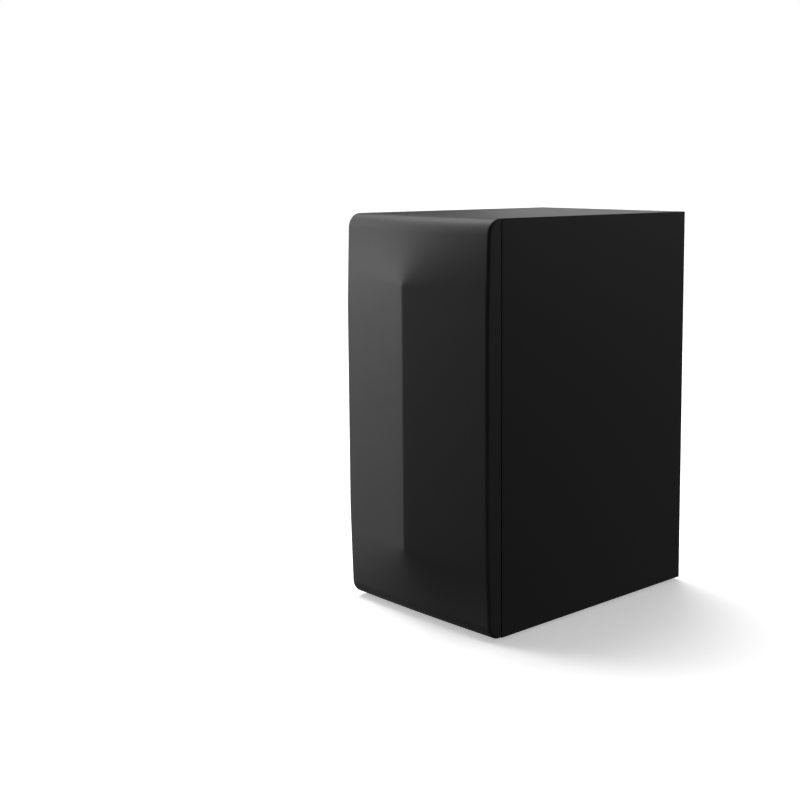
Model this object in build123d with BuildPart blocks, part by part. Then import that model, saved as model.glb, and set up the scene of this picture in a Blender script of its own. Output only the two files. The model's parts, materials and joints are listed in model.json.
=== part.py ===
"""Compact wireless subwoofer: a fibreboard box with a ridged front cover, a side-firing driver
behind a round pull-off grille, a rear port and a rear amplifier plate.

Millimetres. +Z is up, the front cover faces -Y and the driver faces -X. The origin lies on the
floor under the middle of the whole object.
"""

import os
from math import sqrt, tan, radians

from build123d import *

os.makedirs("parts", exist_ok=True)

# ---------------------------------------------------------------- driving dimensions
# cabinet
cabinet_width = 171.0
cabinet_height = 329.0
cabinet_depth = 225.0
wall = 10.0

# feet
foot_stand = 2.5
foot_recess = 1.5
foot_radius = 8.0
foot_inset_x = 18.0
foot_inset_y = 22.0

# front cover
ridge_depth = 27.6
edge_depth = 15.6
ridge_top_drop = 54.6
ridge_bottom_rise = 59.8
end_round = 12.0
end_lean = 3.1
fan_rate = 1.3
cover_wall = 4.0
cover_rib = 2.0
shadow_gap = 0.9
gasket_inset = 3.0
gasket_width = 5.0
peg_spacing_x = 120.0
peg_spacing_z = 125.0
peg_radius = 3.5
peg_length = 9.0
peg_boss_radius = 6.0
cup_wall = 1.9
cup_flange = 2.0
cup_flange_thickness = 1.2

# driver, whose heights are counted outwards from the front face of its baffle
driver_rise = 152.5
baffle_thickness = 15.0
baffle_margin = 110.0
flange_radius = 82.5
flange_thickness = 3.0
flange_recess = 3.0
seal_thickness = 0.8
cutout_radius = 73.5
basket_sheet = 2.0
basket_mouth_radius = 70.3
basket_shelf_radius = 51.3
basket_cup_radius = 50.0
basket_shelf_height = -31.8
basket_floor_height = -38.0
basket_throat_radius = 20.0
basket_windows = 6
window_width = 40.0
spider_lap = 5.0
screw_circle_radius = 78.8
driver_screw_count = 8
cone_radius = 61.5
cone_rim_height = -3.4
cone_neck_height = -23.5
cone_thickness = 0.9
dust_cap_radius = 23.0
dust_cap_rise = 7.0
dust_cap_thickness = 0.7
roll_radius = 5.0
surround_thickness = 0.8
surround_land = 4.5
former_inner_radius = 16.0
former_thickness = 0.5
former_length = 31.5
winding_thickness = 0.95
winding_length = 16.0
pole_gap = 0.8
top_plate_thickness = 6.0
magnet_radius = 45.0
magnet_bore_radius = 22.0
magnet_thickness = 20.0
yoke_thickness = 6.0
vent_radius = 5.0

# grille
grille_radius = 94.2
cloth_thickness = 0.5
cloth_skirt = 4.0
grille_gap = 0.5
grille_recess = 0.3
grille_thickness = 4.2
grille_rim = 8.2
grille_rib = 2.5
grille_rib_width = 2.0
grille_spokes = 12
grille_ring_radii = (22.0, 45.0, 67.0)
grille_peg_circle = 89.0
grille_peg_radius = 2.5
grille_peg_grip = 6.5
grille_cup_wall = 1.95
grille_cup_depth = 8.0

# port
port_drop = 63.5
port_radius = 26.0
port_tube_wall = 2.5
port_length = 125.0
port_flange_radius = 39.0
port_flange_thickness = 2.5
port_flare = 8.5
port_collar_radius = 32.0
port_collar_depth = 8.0

# amplifier plate and what it carries; offsets are counted from the middle of the plate
amp_rise = 92.5
amp_width = 118.0
amp_height = 138.0
amp_plate_thickness = 1.5
amp_gasket_thickness = 0.5
amp_window_width = 92.0
amp_window_height = 112.0
amp_corner = 5.0
amp_screw_spacing_x = 104.0
amp_screw_spacing_z = 62.0
screw_head_height = 1.6
screw_head_radius = 3.2
screw_shank_radius = 1.6
amp_screw_length = 11.5
board_width = 84.0
board_height = 78.0
board_thickness = 1.6
board_offset_z = 14.0
spacer_length = 10.0
spacer_radius = 3.0
board_hole_inset = 5.0
inlet_offset_z = -43.0
inlet_flange_width = 28.0
inlet_flange_height = 19.0
inlet_body_width = 22.5
inlet_body_height = 14.0
inlet_body_depth = 16.5
socket_width = 17.8
socket_height = 9.2
socket_depth = 13.0
pin_spacing = 8.6
pin_radius = 1.2
pin_length = 9.5
pin_tail = 4.5
button_offset = (-22.0, 40.0)
button_radius = 2.5
button_stand = 1.2
button_travel = 0.6
light_offset = (-8.0, 40.0)
light_radius = 1.5

# clearances
press_clearance = 0.05
slip_clearance = 0.1
running_clearance = 0.08
board_clearance = 0.3
soft_clearance = 0.3

# ---------------------------------------------------------------- derived places
rear_stand = amp_gasket_thickness + amp_plate_thickness + screw_head_height
overall_depth = ridge_depth + cabinet_depth + rear_stand
half_width = cabinet_width / 2
bottom_z = foot_stand
top_z = bottom_z + cabinet_height
middle_z = (bottom_z + top_z) / 2
seam_y = ridge_depth - overall_depth / 2
rear_y = seam_y + cabinet_depth
middle_y = (seam_y + rear_y) / 2
inner_x = half_width - wall
inner_bottom_z = bottom_z + wall
inner_top_z = top_z - wall
board_front_y = seam_y + wall
board_rear_y = rear_y - wall
ridge_top_z = top_z - ridge_top_drop
ridge_bottom_z = bottom_z + ridge_bottom_rise

baffle_x = -inner_x
driver_centre = (baffle_x, middle_y, bottom_z + driver_rise)
driver_face = Plane(origin=driver_centre, x_dir=(0, 1, 0), z_dir=(-1, 0, 0))
driver_profile = Plane(origin=driver_centre, x_dir=(0, 0, 1), z_dir=(0, -1, 0))
driver_axis = Axis(driver_centre, (-1, 0, 0))

port_z = top_z - port_drop
port_profile = Plane(origin=(0, rear_y, port_z))
port_axis = Axis((0, rear_y, port_z), (0, 1, 0))

amp_z = bottom_z + amp_rise
plate_inner_y = rear_y + amp_gasket_thickness
plate_outer_y = plate_inner_y + amp_plate_thickness
board_outer_y = plate_inner_y - spacer_length
board_inner_y = board_outer_y - board_thickness
board_z = amp_z + board_offset_z


def rear_plane(y, x=0.0, z=amp_z):
    """A plane facing the rear whose local x is -X and whose local y is +Z."""
    return Plane(origin=(x, y, z), x_dir=(-1, 0, 0), z_dir=(0, 1, 0))


def front_plane(y, x=0.0, z=amp_z):
    """A plane facing the front whose local x is +X and whose local y is +Z."""
    return Plane(origin=(x, y, z), x_dir=(1, 0, 0), z_dir=(0, -1, 0))


def save(builder, name):
    """Labels a finished piece and writes it as its own STEP file."""
    builder.part.label = name
    export_step(builder.part, f"parts/{name}.step")


# ---------------------------------------------------------------- cabinet
def wrap_panel(corners):
    """A mitred board that runs the full depth of the cabinet, its section given by its corners."""
    with BuildPart() as board:
        with BuildSketch(Plane.XZ.offset(-seam_y)):
            with BuildLine():
                Polyline(*corners, close=True)
            make_face()
        extrude(amount=-cabinet_depth)
    return board


right_side_panel = wrap_panel([
    (half_width, bottom_z),
    (half_width, top_z),
    (inner_x, inner_top_z),
    (inner_x, inner_bottom_z),
])
save(right_side_panel, "right_side_panel")

top_panel = wrap_panel([
    (-half_width, top_z),
    (half_width, top_z),
    (inner_x, inner_top_z),
    (-inner_x, inner_top_z),
])
save(top_panel, "top_panel")

plain_left_panel = wrap_panel([
    (-half_width, bottom_z),
    (-half_width, top_z),
    (-inner_x, inner_top_z),
    (-inner_x, inner_bottom_z),
])
grille_opening_radius = grille_radius + slip_clearance + cloth_thickness + grille_gap
with BuildPart() as left_side_panel:
    add(plain_left_panel.part)
    with BuildSketch(driver_face):
        Circle(grille_opening_radius)
    extrude(amount=wall, mode=Mode.SUBTRACT)
save(left_side_panel, "left_side_panel")

foot_middle_y = (seam_y + foot_inset_y + rear_y - foot_inset_y) / 2
foot_spacing_x = cabinet_width - 2 * foot_inset_x
foot_spacing_y = cabinet_depth - 2 * foot_inset_y
foot_plane = Plane(origin=(0, foot_middle_y, bottom_z))
plain_bottom_panel = wrap_panel([
    (-half_width, bottom_z),
    (half_width, bottom_z),
    (inner_x, inner_bottom_z),
    (-inner_x, inner_bottom_z),
])
with BuildPart() as bottom_panel:
    add(plain_bottom_panel.part)
    with BuildSketch(foot_plane):
        with GridLocations(foot_spacing_x, foot_spacing_y, 2, 2):
            Circle(foot_radius + slip_clearance)
    extrude(amount=foot_recess, mode=Mode.SUBTRACT)
save(bottom_panel, "bottom_panel")

for side_name, side in (("left", -1), ("right", 1)):
    for end_name, end in (("front", -1), ("rear", 1)):
        foot_x = side * foot_spacing_x / 2
        foot_y = foot_middle_y + end * foot_spacing_y / 2
        with BuildPart() as foot:
            with BuildSketch(Plane(origin=(foot_x, foot_y, 0))):
                Circle(foot_radius)
            extrude(amount=foot_stand + foot_recess)
            chamfer(foot.faces().sort_by(Axis.Z)[0].edges(), length=0.6)
        save(foot, f"foot_{end_name}_{side_name}")

inner_width = 2 * inner_x
inner_height = inner_top_z - inner_bottom_z
cup_radius = peg_radius + slip_clearance + cup_wall

with BuildPart() as front_board:
    with BuildSketch(front_plane(seam_y, z=middle_z)):
        Rectangle(inner_width, inner_height)
        with GridLocations(peg_spacing_x, peg_spacing_z, 2, 3):
            Circle(cup_radius + press_clearance, mode=Mode.SUBTRACT)
    extrude(amount=-wall)
save(front_board, "front_board")

with BuildPart() as rear_board:
    with BuildSketch(rear_plane(rear_y, z=middle_z)):
        Rectangle(inner_width, inner_height)
        with Locations((0, port_z - middle_z)):
            Circle(port_collar_radius + slip_clearance, mode=Mode.SUBTRACT)
        with Locations((0, amp_z - middle_z)):
            Rectangle(amp_window_width, amp_window_height, mode=Mode.SUBTRACT)
            with GridLocations(amp_screw_spacing_x, amp_screw_spacing_z, 2, 3):
                Circle(screw_shank_radius + slip_clearance, mode=Mode.SUBTRACT)
    extrude(amount=-wall)
save(rear_board, "rear_board")

# The wadding lies on the inner face of the right panel, clear of the boards around it.
wadding_thickness = 20.0
wadding_margin = 6.0
wadding_round = 6.0
with BuildPart() as damping_wadding:
    with BuildSketch(Plane(origin=(inner_x - soft_clearance, middle_y, middle_z),
                           x_dir=(0, 1, 0), z_dir=(1, 0, 0))):
        RectangleRounded(
            board_rear_y - board_front_y - 2 * wadding_margin,
            inner_height - 2 * wadding_margin,
            wadding_round,
        )
    extrude(amount=-wadding_thickness)
    fillet(damping_wadding.faces().sort_by(Axis.X)[0].edges(), radius=wadding_round)
save(damping_wadding, "damping_wadding")


# ---------------------------------------------------------------- front cover
def cover_y(x, z, inset):
    """The y of the cover's front surface, set back by the inset.

    Two slanted facets meet in an upright ridge. Past the ridge's ends it fans out and fades, and
    the whole face leans back a little.
    """
    past_top = z - ridge_top_z
    past_bottom = ridge_bottom_z - z
    past = max(past_top, past_bottom, 0.0)
    length = ridge_top_drop if past_top > 0 else ridge_bottom_rise
    fan = fan_rate * past
    slope = (ridge_depth - edge_depth) / half_width
    lean = end_lean * (past / length) ** 2
    crown = slope * (sqrt(half_width**2 + fan**2) - sqrt(x**2 + fan**2))
    return seam_y - edge_depth + lean - crown + inset


def cover_section(z, inset, back_y):
    """The cover's outline at one height, closed by a straight back."""
    reach = half_width - inset
    steps = 5
    right = [(reach * i / steps, cover_y(reach * i / steps, z, inset)) for i in range(steps + 1)]
    left = [(-x, y) for x, y in reversed(right)]
    with BuildSketch(Plane.XY.offset(z)) as section:
        with BuildLine():
            if ridge_bottom_z <= z <= ridge_top_z:
                Line(left[0], left[-1])
                Line(right[0], right[-1])
            else:
                Spline(*left)
                Spline(*right)
            Polyline(right[-1], (reach, back_y), (-reach, back_y), left[0])
        make_face()
    return section.sketch.face()


def cover_block(inset, back_y):
    """The solid under the cover's front surface, shrunk by the inset all round."""
    low = bottom_z + inset
    high = top_z - inset
    end_sections = (
        [cover_section(z, inset, back_y) for z in (ridge_top_z, (ridge_top_z + high) / 2, high)],
        [cover_section(z, inset, back_y) for z in (ridge_bottom_z, (ridge_bottom_z + low) / 2, low)],
    )
    with BuildPart() as block:
        extrude(end_sections[1][0], amount=ridge_top_z - ridge_bottom_z, dir=(0, 0, 1))
        for sections in end_sections:
            loft(sections)
        rims = [
            edge for edge in block.edges()
            if abs(edge.center().Z - middle_z) > (high - low) / 2 - 0.01
            and edge.center().Y < back_y - edge_depth / 4
            and abs(edge.center().X) < half_width - inset - 1
        ]
        fillet(rims, radius=end_round - inset)
    return block


rim_y = seam_y - shadow_gap
boss_y = seam_y - cup_flange_thickness - slip_clearance
outer_block = cover_block(0.0, rim_y)
inner_block = cover_block(cover_wall, rim_y)

with BuildPart() as cover_stiffeners:
    with BuildSketch(front_plane(boss_y, z=middle_z)):
        with GridLocations(peg_spacing_x, peg_spacing_z, 2, 3):
            Circle(peg_boss_radius)
        with GridLocations(peg_spacing_x, peg_spacing_z, 1, 3):
            Rectangle(cabinet_width, cover_rib)
        Rectangle(cover_rib, cabinet_height)
    extrude(amount=ridge_depth)
    add(outer_block.part, mode=Mode.INTERSECT)

with BuildPart() as front_panel:
    add(outer_block.part)
    add(inner_block.part, mode=Mode.SUBTRACT)
    add(cover_stiffeners.part)
    with BuildSketch(front_plane(boss_y, z=middle_z)):
        with GridLocations(peg_spacing_x, peg_spacing_z, 2, 3):
            Circle(peg_radius)
    extrude(amount=-peg_length)
save(front_panel, "front_panel")

with BuildPart() as front_gasket:
    with BuildSketch(front_plane(seam_y, z=middle_z)):
        Rectangle(cabinet_width - 2 * gasket_inset, cabinet_height - 2 * gasket_inset)
        Rectangle(
            cabinet_width - 2 * (gasket_inset + gasket_width),
            cabinet_height - 2 * (gasket_inset + gasket_width),
            mode=Mode.SUBTRACT,
        )
    extrude(amount=shadow_gap)
save(front_gasket, "front_gasket")

with BuildPart() as front_peg_cups:
    with BuildSketch(front_plane(seam_y, z=middle_z)):
        with GridLocations(peg_spacing_x, peg_spacing_z, 2, 3):
            Circle(cup_radius + cup_flange)
    extrude(amount=cup_flange_thickness)
    with BuildSketch(front_plane(seam_y, z=middle_z)):
        with GridLocations(peg_spacing_x, peg_spacing_z, 2, 3):
            Circle(cup_radius)
    extrude(amount=-wall)
    with BuildSketch(front_plane(seam_y - cup_flange_thickness, z=middle_z)):
        with GridLocations(peg_spacing_x, peg_spacing_z, 2, 3):
            Circle(peg_radius + slip_clearance)
    extrude(amount=-(peg_length + slip_clearance), mode=Mode.SUBTRACT)
save(front_peg_cups, "front_peg_cups")

# ---------------------------------------------------------------- driver baffle and grille
rebate_depth = flange_recess + flange_thickness + seal_thickness
baffle_top_z = driver_centre[2] + baffle_margin
grille_cup_radius = grille_peg_radius + running_clearance + grille_cup_wall
driver_hole_radius = 2.0

with BuildPart() as driver_baffle:
    with BuildSketch(Plane(origin=(baffle_x, middle_y, (inner_bottom_z + baffle_top_z) / 2),
                           x_dir=(0, 1, 0), z_dir=(-1, 0, 0))):
        Rectangle(board_rear_y - board_front_y, baffle_top_z - inner_bottom_z)
    extrude(amount=-baffle_thickness)
    with BuildSketch(driver_face):
        Circle(cutout_radius)
    extrude(amount=-baffle_thickness, mode=Mode.SUBTRACT)
    with BuildSketch(driver_face):
        Circle(flange_radius + board_clearance)
    extrude(amount=-rebate_depth, mode=Mode.SUBTRACT)
    with BuildSketch(driver_face):
        with PolarLocations(grille_peg_circle, 4, start_angle=45):
            Circle(grille_cup_radius + press_clearance)
    extrude(amount=-grille_cup_depth, mode=Mode.SUBTRACT)
    with BuildSketch(driver_face):
        with PolarLocations(screw_circle_radius, driver_screw_count, start_angle=22.5):
            Circle(driver_hole_radius + press_clearance)
    extrude(amount=-(baffle_thickness - 1), mode=Mode.SUBTRACT)
save(driver_baffle, "driver_baffle")

cloth_face_height = wall - grille_recess
frame_face_height = cloth_face_height - cloth_thickness
frame_back_height = frame_face_height - grille_thickness

with BuildPart() as grille_frame:
    with BuildSketch(driver_face.offset(frame_back_height)):
        Circle(grille_radius)
        Circle(grille_radius - grille_rim, mode=Mode.SUBTRACT)
    extrude(amount=grille_thickness)
    with BuildSketch(driver_face.offset(frame_face_height)):
        for ring_radius in grille_ring_radii:
            with BuildSketch(mode=Mode.PRIVATE) as ring:
                Circle(ring_radius + grille_rib_width / 2)
                Circle(ring_radius - grille_rib_width / 2, mode=Mode.SUBTRACT)
            add(ring.sketch)
        spoke_length = grille_radius - grille_rim / 2 - grille_ring_radii[0]
        with PolarLocations(grille_ring_radii[0] + spoke_length / 2, grille_spokes):
            Rectangle(spoke_length, grille_rib_width)
    extrude(amount=-grille_rib)
    with BuildSketch(driver_face.offset(frame_back_height)):
        with PolarLocations(grille_peg_circle, 4, start_angle=45):
            Circle(grille_peg_radius)
    extrude(amount=-(frame_back_height + grille_peg_grip))
save(grille_frame, "grille_frame")

cloth_radius = grille_radius + slip_clearance + cloth_thickness
with BuildPart() as grille_cloth:
    with BuildSketch(driver_face.offset(cloth_face_height)):
        Circle(cloth_radius)
    extrude(amount=-(cloth_thickness + cloth_skirt))
    with BuildSketch(driver_face.offset(frame_face_height)):
        Circle(grille_radius + slip_clearance)
    extrude(amount=-cloth_skirt, mode=Mode.SUBTRACT)
save(grille_cloth, "grille_cloth")

with BuildPart() as grille_cups:
    with BuildSketch(driver_face):
        with PolarLocations(grille_peg_circle, 4, start_angle=45):
            Circle(grille_cup_radius)
    extrude(amount=-grille_cup_depth)
    with BuildSketch(driver_face):
        with PolarLocations(grille_peg_circle, 4, start_angle=45):
            Circle(grille_peg_radius + running_clearance)
    extrude(amount=-(grille_cup_depth - 0.8), mode=Mode.SUBTRACT)
save(grille_cups, "grille_cups")

# ---------------------------------------------------------------- driver
flange_front = -flange_recess
flange_back = flange_front - flange_thickness
cone_inner_radius = former_inner_radius + former_thickness + press_clearance
cone_slope = (cone_rim_height - cone_neck_height) / (cone_radius - cone_inner_radius)


def cone_front(radius):
    """The height of the cone's front face at a radius."""
    return cone_rim_height - cone_slope * (cone_radius - radius)


def turned(points):
    """A closed ring or disc about the driver's axis, from its corners as radius and height."""
    with BuildPart() as ring:
        with BuildSketch(driver_profile):
            with BuildLine():
                Polyline(*points, close=True)
            make_face()
        revolve(axis=driver_axis)
    return ring


def ring(inner_radius, outer_radius, low, high):
    """A plain ring about the driver's axis."""
    return turned([(inner_radius, low), (outer_radius, low), (outer_radius, high), (inner_radius, high)])


skirt_top = flange_back - basket_sheet
skirt_run = (basket_mouth_radius - basket_shelf_radius) / (skirt_top - basket_shelf_height)
skirt_offset = basket_sheet * sqrt(1 + skirt_run**2)
shelf_under = basket_shelf_height - basket_sheet


def skirt_outer_radius(height):
    """The radius of the basket's slanted wall on its outside."""
    return basket_shelf_radius + skirt_run * (height - basket_shelf_height) + skirt_offset


with BuildPart() as driver_basket:
    with BuildSketch(driver_profile):
        with BuildLine():
            Polyline(
                (flange_radius, flange_front),
                (flange_radius, flange_back),
                (skirt_outer_radius(skirt_top), flange_back),
                (skirt_outer_radius(skirt_top), skirt_top),
                (skirt_outer_radius(basket_shelf_height), basket_shelf_height),
                (basket_cup_radius, shelf_under),
                (basket_cup_radius, basket_floor_height - basket_sheet),
                (basket_throat_radius, basket_floor_height - basket_sheet),
                (basket_throat_radius, basket_floor_height),
                (basket_cup_radius - basket_sheet, basket_floor_height),
                (basket_cup_radius - basket_sheet, shelf_under),
                (basket_shelf_radius - 2 * spider_lap, shelf_under),
                (basket_shelf_radius - 2 * spider_lap, basket_shelf_height),
                (basket_shelf_radius, basket_shelf_height),
                (basket_mouth_radius, skirt_top),
                (basket_mouth_radius, flange_front),
                close=True,
            )
        make_face()
    revolve(axis=driver_axis)
    window_low = basket_shelf_height + 2.5
    window_high = skirt_top - 2.5
    window_radius = (basket_shelf_radius + skirt_outer_radius(skirt_top)) / 2
    with BuildSketch(driver_face.offset(window_low)):
        with PolarLocations(window_radius, basket_windows):
            RectangleRounded(2 * (window_radius - basket_shelf_radius) - 4, window_width, 4)
    extrude(amount=window_high - window_low, mode=Mode.SUBTRACT)
    with BuildSketch(driver_face):
        with PolarLocations(screw_circle_radius, driver_screw_count, start_angle=22.5):
            Circle(driver_hole_radius + 2 * slip_clearance)
    extrude(amount=flange_back, mode=Mode.SUBTRACT)
save(driver_basket, "driver_basket")

driver_seal_plain = ring(cutout_radius + 0.5, flange_radius, flange_back - seal_thickness, flange_back)
with BuildPart() as driver_seal:
    add(driver_seal_plain.part)
    with BuildSketch(driver_face):
        with PolarLocations(screw_circle_radius, driver_screw_count, start_angle=22.5):
            Circle(driver_hole_radius + 2 * slip_clearance)
    extrude(amount=-rebate_depth, mode=Mode.SUBTRACT)
save(driver_seal, "driver_seal")

roll_centre = cone_radius - 1.5 + roll_radius
land_top = flange_front + surround_thickness
land_outer = roll_centre + roll_radius + surround_land
land_inner = roll_centre - roll_radius - surround_land + 1
land_inner_low = cone_front(land_inner) + soft_clearance
with BuildPart() as surround:
    with BuildSketch(driver_profile):
        with BuildLine():
            Polyline((land_outer, flange_front), (land_outer, land_top),
                     (roll_centre + roll_radius, land_top))
            ThreePointArc((roll_centre + roll_radius, land_top),
                          (roll_centre, land_top + roll_radius),
                          (roll_centre - roll_radius, land_top))
            Polyline((roll_centre - roll_radius, land_top),
                     (land_inner, land_inner_low + surround_thickness),
                     (land_inner, land_inner_low),
                     (roll_centre - roll_radius + surround_thickness, flange_front))
            ThreePointArc((roll_centre - roll_radius + surround_thickness, flange_front),
                          (roll_centre, land_top + roll_radius - surround_thickness),
                          (roll_centre + roll_radius - surround_thickness, flange_front))
            Line((roll_centre + roll_radius - surround_thickness, flange_front),
                 (land_outer, flange_front))
        make_face()
    revolve(axis=driver_axis)
save(surround, "surround")

gasket_ring_height = 2.5
driver_gasket_ring = ring(roll_centre + roll_radius + 0.5, land_outer + 0.3, land_top,
                          land_top + gasket_ring_height)
save(driver_gasket_ring, "driver_gasket_ring")

cone = turned([
    (cone_inner_radius, cone_neck_height),
    (cone_radius, cone_rim_height),
    (cone_radius, cone_rim_height - cone_thickness),
    (cone_inner_radius, cone_neck_height - cone_thickness),
])
save(cone, "cone")

cap_base = cone_front(dust_cap_radius) + slip_clearance
cap_sphere = (dust_cap_radius**2 + dust_cap_rise**2) / (2 * dust_cap_rise)


def cap_height(radius):
    """The height of the dust cap's outer face at a radius."""
    return cap_base + dust_cap_rise - cap_sphere + sqrt(cap_sphere**2 - radius**2)


with BuildPart() as dust_cap:
    inner_cap_radius = dust_cap_radius - 2 * dust_cap_thickness
    with BuildSketch(driver_profile):
        with BuildLine():
            ThreePointArc((dust_cap_radius, cap_base),
                          (dust_cap_radius / 2, cap_height(dust_cap_radius / 2)),
                          (0, cap_height(0)))
            Line((0, cap_height(0)), (0, cap_height(0) - dust_cap_thickness))
            ThreePointArc((0, cap_height(0) - dust_cap_thickness),
                          (inner_cap_radius / 2, cap_height(inner_cap_radius / 2) - dust_cap_thickness),
                          (inner_cap_radius, cap_base))
            Line((inner_cap_radius, cap_base), (dust_cap_radius, cap_base))
        make_face()
    revolve(axis=driver_axis)
save(dust_cap, "dust_cap")

former_top = cone_neck_height + 1.0
former_outer_radius = former_inner_radius + former_thickness
coil_former = ring(former_inner_radius, former_outer_radius, former_top - former_length, former_top)
save(coil_former, "coil_former")

top_plate_top = basket_floor_height - basket_sheet
gap_middle = top_plate_top - top_plate_thickness / 2
coil_winding = ring(former_outer_radius + press_clearance,
                    former_outer_radius + press_clearance + winding_thickness,
                    gap_middle - winding_length / 2, gap_middle + winding_length / 2)
save(coil_winding, "coil_winding")

spider_thickness = 0.8
spider_low = basket_shelf_height + soft_clearance
spider = ring(former_outer_radius + soft_clearance, basket_shelf_radius - spider_lap,
              spider_low, spider_low + spider_thickness)
save(spider, "spider")

winding_outer_radius = former_outer_radius + press_clearance + winding_thickness
top_plate = ring(winding_outer_radius + pole_gap, magnet_radius - 1,
                 top_plate_top - top_plate_thickness, top_plate_top)
save(top_plate, "top_plate")

magnet_top = top_plate_top - top_plate_thickness
magnet = ring(magnet_bore_radius, magnet_radius, magnet_top - magnet_thickness, magnet_top)
save(magnet, "magnet")

yoke_top = magnet_top - magnet_thickness
pole_radius = former_inner_radius - pole_gap
yoke = turned([
    (vent_radius, yoke_top - yoke_thickness),
    (magnet_radius - 1, yoke_top - yoke_thickness),
    (magnet_radius - 1, yoke_top),
    (pole_radius, yoke_top),
    (pole_radius, top_plate_top),
    (vent_radius, top_plate_top),
])
save(yoke, "yoke")

driver_screw_length = 14.0
driver_head_radius = 3.5
driver_head_height = 2.5
with BuildPart() as driver_screws:
    with BuildSketch(driver_face.offset(flange_front)):
        with PolarLocations(screw_circle_radius, driver_screw_count, start_angle=22.5):
            Circle(driver_head_radius)
    extrude(amount=driver_head_height)
    chamfer(driver_screws.faces().filter_by(Axis.X).group_by(Axis.X)[0].edges(), length=0.8)
    with BuildSketch(driver_face.offset(flange_front)):
        with PolarLocations(screw_circle_radius, driver_screw_count, start_angle=22.5):
            Circle(driver_hole_radius - press_clearance)
    extrude(amount=-(driver_screw_length - flange_recess))
save(driver_screws, "driver_screws")

# The terminal strip stands on the topmost spoke of the basket.
strip_high = -baffle_thickness - 1.0
strip_low = strip_high - 12.0
strip_radius = 70.0
strip_width = 18.0
tag_gap = 9.0
tag_radius = 64.0
tag_length = 9.0
tag_width = 4.8
tag_thickness = 0.8
crimp_radius = 1.7
crimp_length = 6.0
lead_radius = 1.1
tinsel_radius = 0.6
tinsel_height = -21.0
tinsel_radius_out = 66.5
with BuildPart() as terminal_strip:
    with BuildSketch(driver_profile):
        with BuildLine():
            Polyline(
                (skirt_outer_radius(strip_high) + slip_clearance, strip_high),
                (strip_radius, strip_high),
                (strip_radius, strip_low),
                (skirt_outer_radius(strip_low) + slip_clearance, strip_low),
                close=True,
            )
        make_face()
    extrude(amount=strip_width / 2, both=True)
save(terminal_strip, "terminal_strip")

tag_x = baffle_x - strip_low
crimp_end_x = tag_x + tag_length
tag_z = driver_centre[2] + tag_radius
with BuildPart() as terminal_tags:
    with BuildSketch(Plane(origin=(tag_x, middle_y, tag_z), x_dir=(0, 1, 0), z_dir=(1, 0, 0))):
        with GridLocations(tag_gap, 0, 2, 1):
            Rectangle(tag_width, tag_thickness)
    extrude(amount=tag_length)
    with BuildSketch(Plane(origin=(crimp_end_x - crimp_length, middle_y, tag_z),
                           x_dir=(0, 1, 0), z_dir=(1, 0, 0))):
        with GridLocations(tag_gap, 0, 2, 1):
            Circle(crimp_radius)
    extrude(amount=crimp_length)
save(terminal_tags, "terminal_tags")


def lead_radii(points):
    """The largest smooth bend for each inner corner of a lead's route."""
    radii = []
    for before, corner, after in zip(points, points[1:], points[2:]):
        arriving = Vector(*corner) - Vector(*before)
        leaving = Vector(*after) - Vector(*corner)
        turn = arriving.get_angle(leaving)
        radii.append(0.45 * min(arriving.length, leaving.length) / tan(radians(turn) / 2))
    return radii


def lead(points, radius):
    """A round lead along a route of straight runs joined by bends."""
    radii = lead_radii(points)
    print("lead bends:", [round(value, 1) for value in radii])
    with BuildPart() as tube:
        with BuildLine() as route:
            FilletPolyline(*points, radius=radii)
        with BuildSketch(Plane(origin=points[0], z_dir=Vector(*points[1]) - Vector(*points[0]))):
            Circle(radius)
        sweep(path=route.wires()[0])
    return tube


def driver_point(across, radius, height):
    """A point near the top of the driver, from its place across, its radius and its height."""
    return (baffle_x - height, middle_y + across, driver_centre[2] + radius)


tinsel_pair = []
for tinsel_side in (-1, 1):
    tinsel_pair.append(lead([
        driver_point(tinsel_side * strip_width / 2, tinsel_radius_out, tinsel_height),
        driver_point(tinsel_side * 15.5, tinsel_radius_out, tinsel_height),
        driver_point(tinsel_side * 17.5, 58.5, -23.0),
        driver_point(tinsel_side * 16.0, 49.5, -25.0),
        driver_point(tinsel_side * 13.5, 41.5, -23.0),
        driver_point(tinsel_side * 11.0, 34.5, cone_front(34.5) - cone_thickness - 1.2),
    ], tinsel_radius))
with BuildPart() as tinsel_leads:
    for tinsel in tinsel_pair:
        add(tinsel.part)
save(tinsel_leads, "tinsel_leads")

# ---------------------------------------------------------------- port
with BuildPart() as port_tube:
    tube_radius = port_radius + port_tube_wall
    mouth_radius = port_radius + port_flare
    with BuildSketch(port_profile):
        with BuildLine():
            Polyline(
                (port_radius, port_flange_thickness - port_flare),
                (port_radius, port_flange_thickness - port_length),
                (tube_radius, port_flange_thickness - port_length),
                (tube_radius, -port_collar_depth),
                (port_collar_radius, -port_collar_depth),
                (port_collar_radius, 0),
                (port_flange_radius, 0),
                (port_flange_radius, port_flange_thickness - 1),
                (port_flange_radius - 1, port_flange_thickness),
                (mouth_radius, port_flange_thickness),
            )
            RadiusArc((mouth_radius, port_flange_thickness),
                      (port_radius, port_flange_thickness - port_flare), -port_flare)
        make_face()
    revolve(axis=port_axis)
save(port_tube, "port_tube")

# ---------------------------------------------------------------- amplifier
with BuildPart() as amp_gasket:
    with BuildSketch(rear_plane(rear_y)):
        RectangleRounded(amp_width - 2, amp_height - 2, amp_corner - 1)
        Rectangle(amp_window_width, amp_window_height, mode=Mode.SUBTRACT)
        with GridLocations(amp_screw_spacing_x, amp_screw_spacing_z, 2, 3):
            Circle(screw_shank_radius + 2 * slip_clearance, mode=Mode.SUBTRACT)
    extrude(amount=amp_gasket_thickness)
save(amp_gasket, "amp_gasket")

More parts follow.
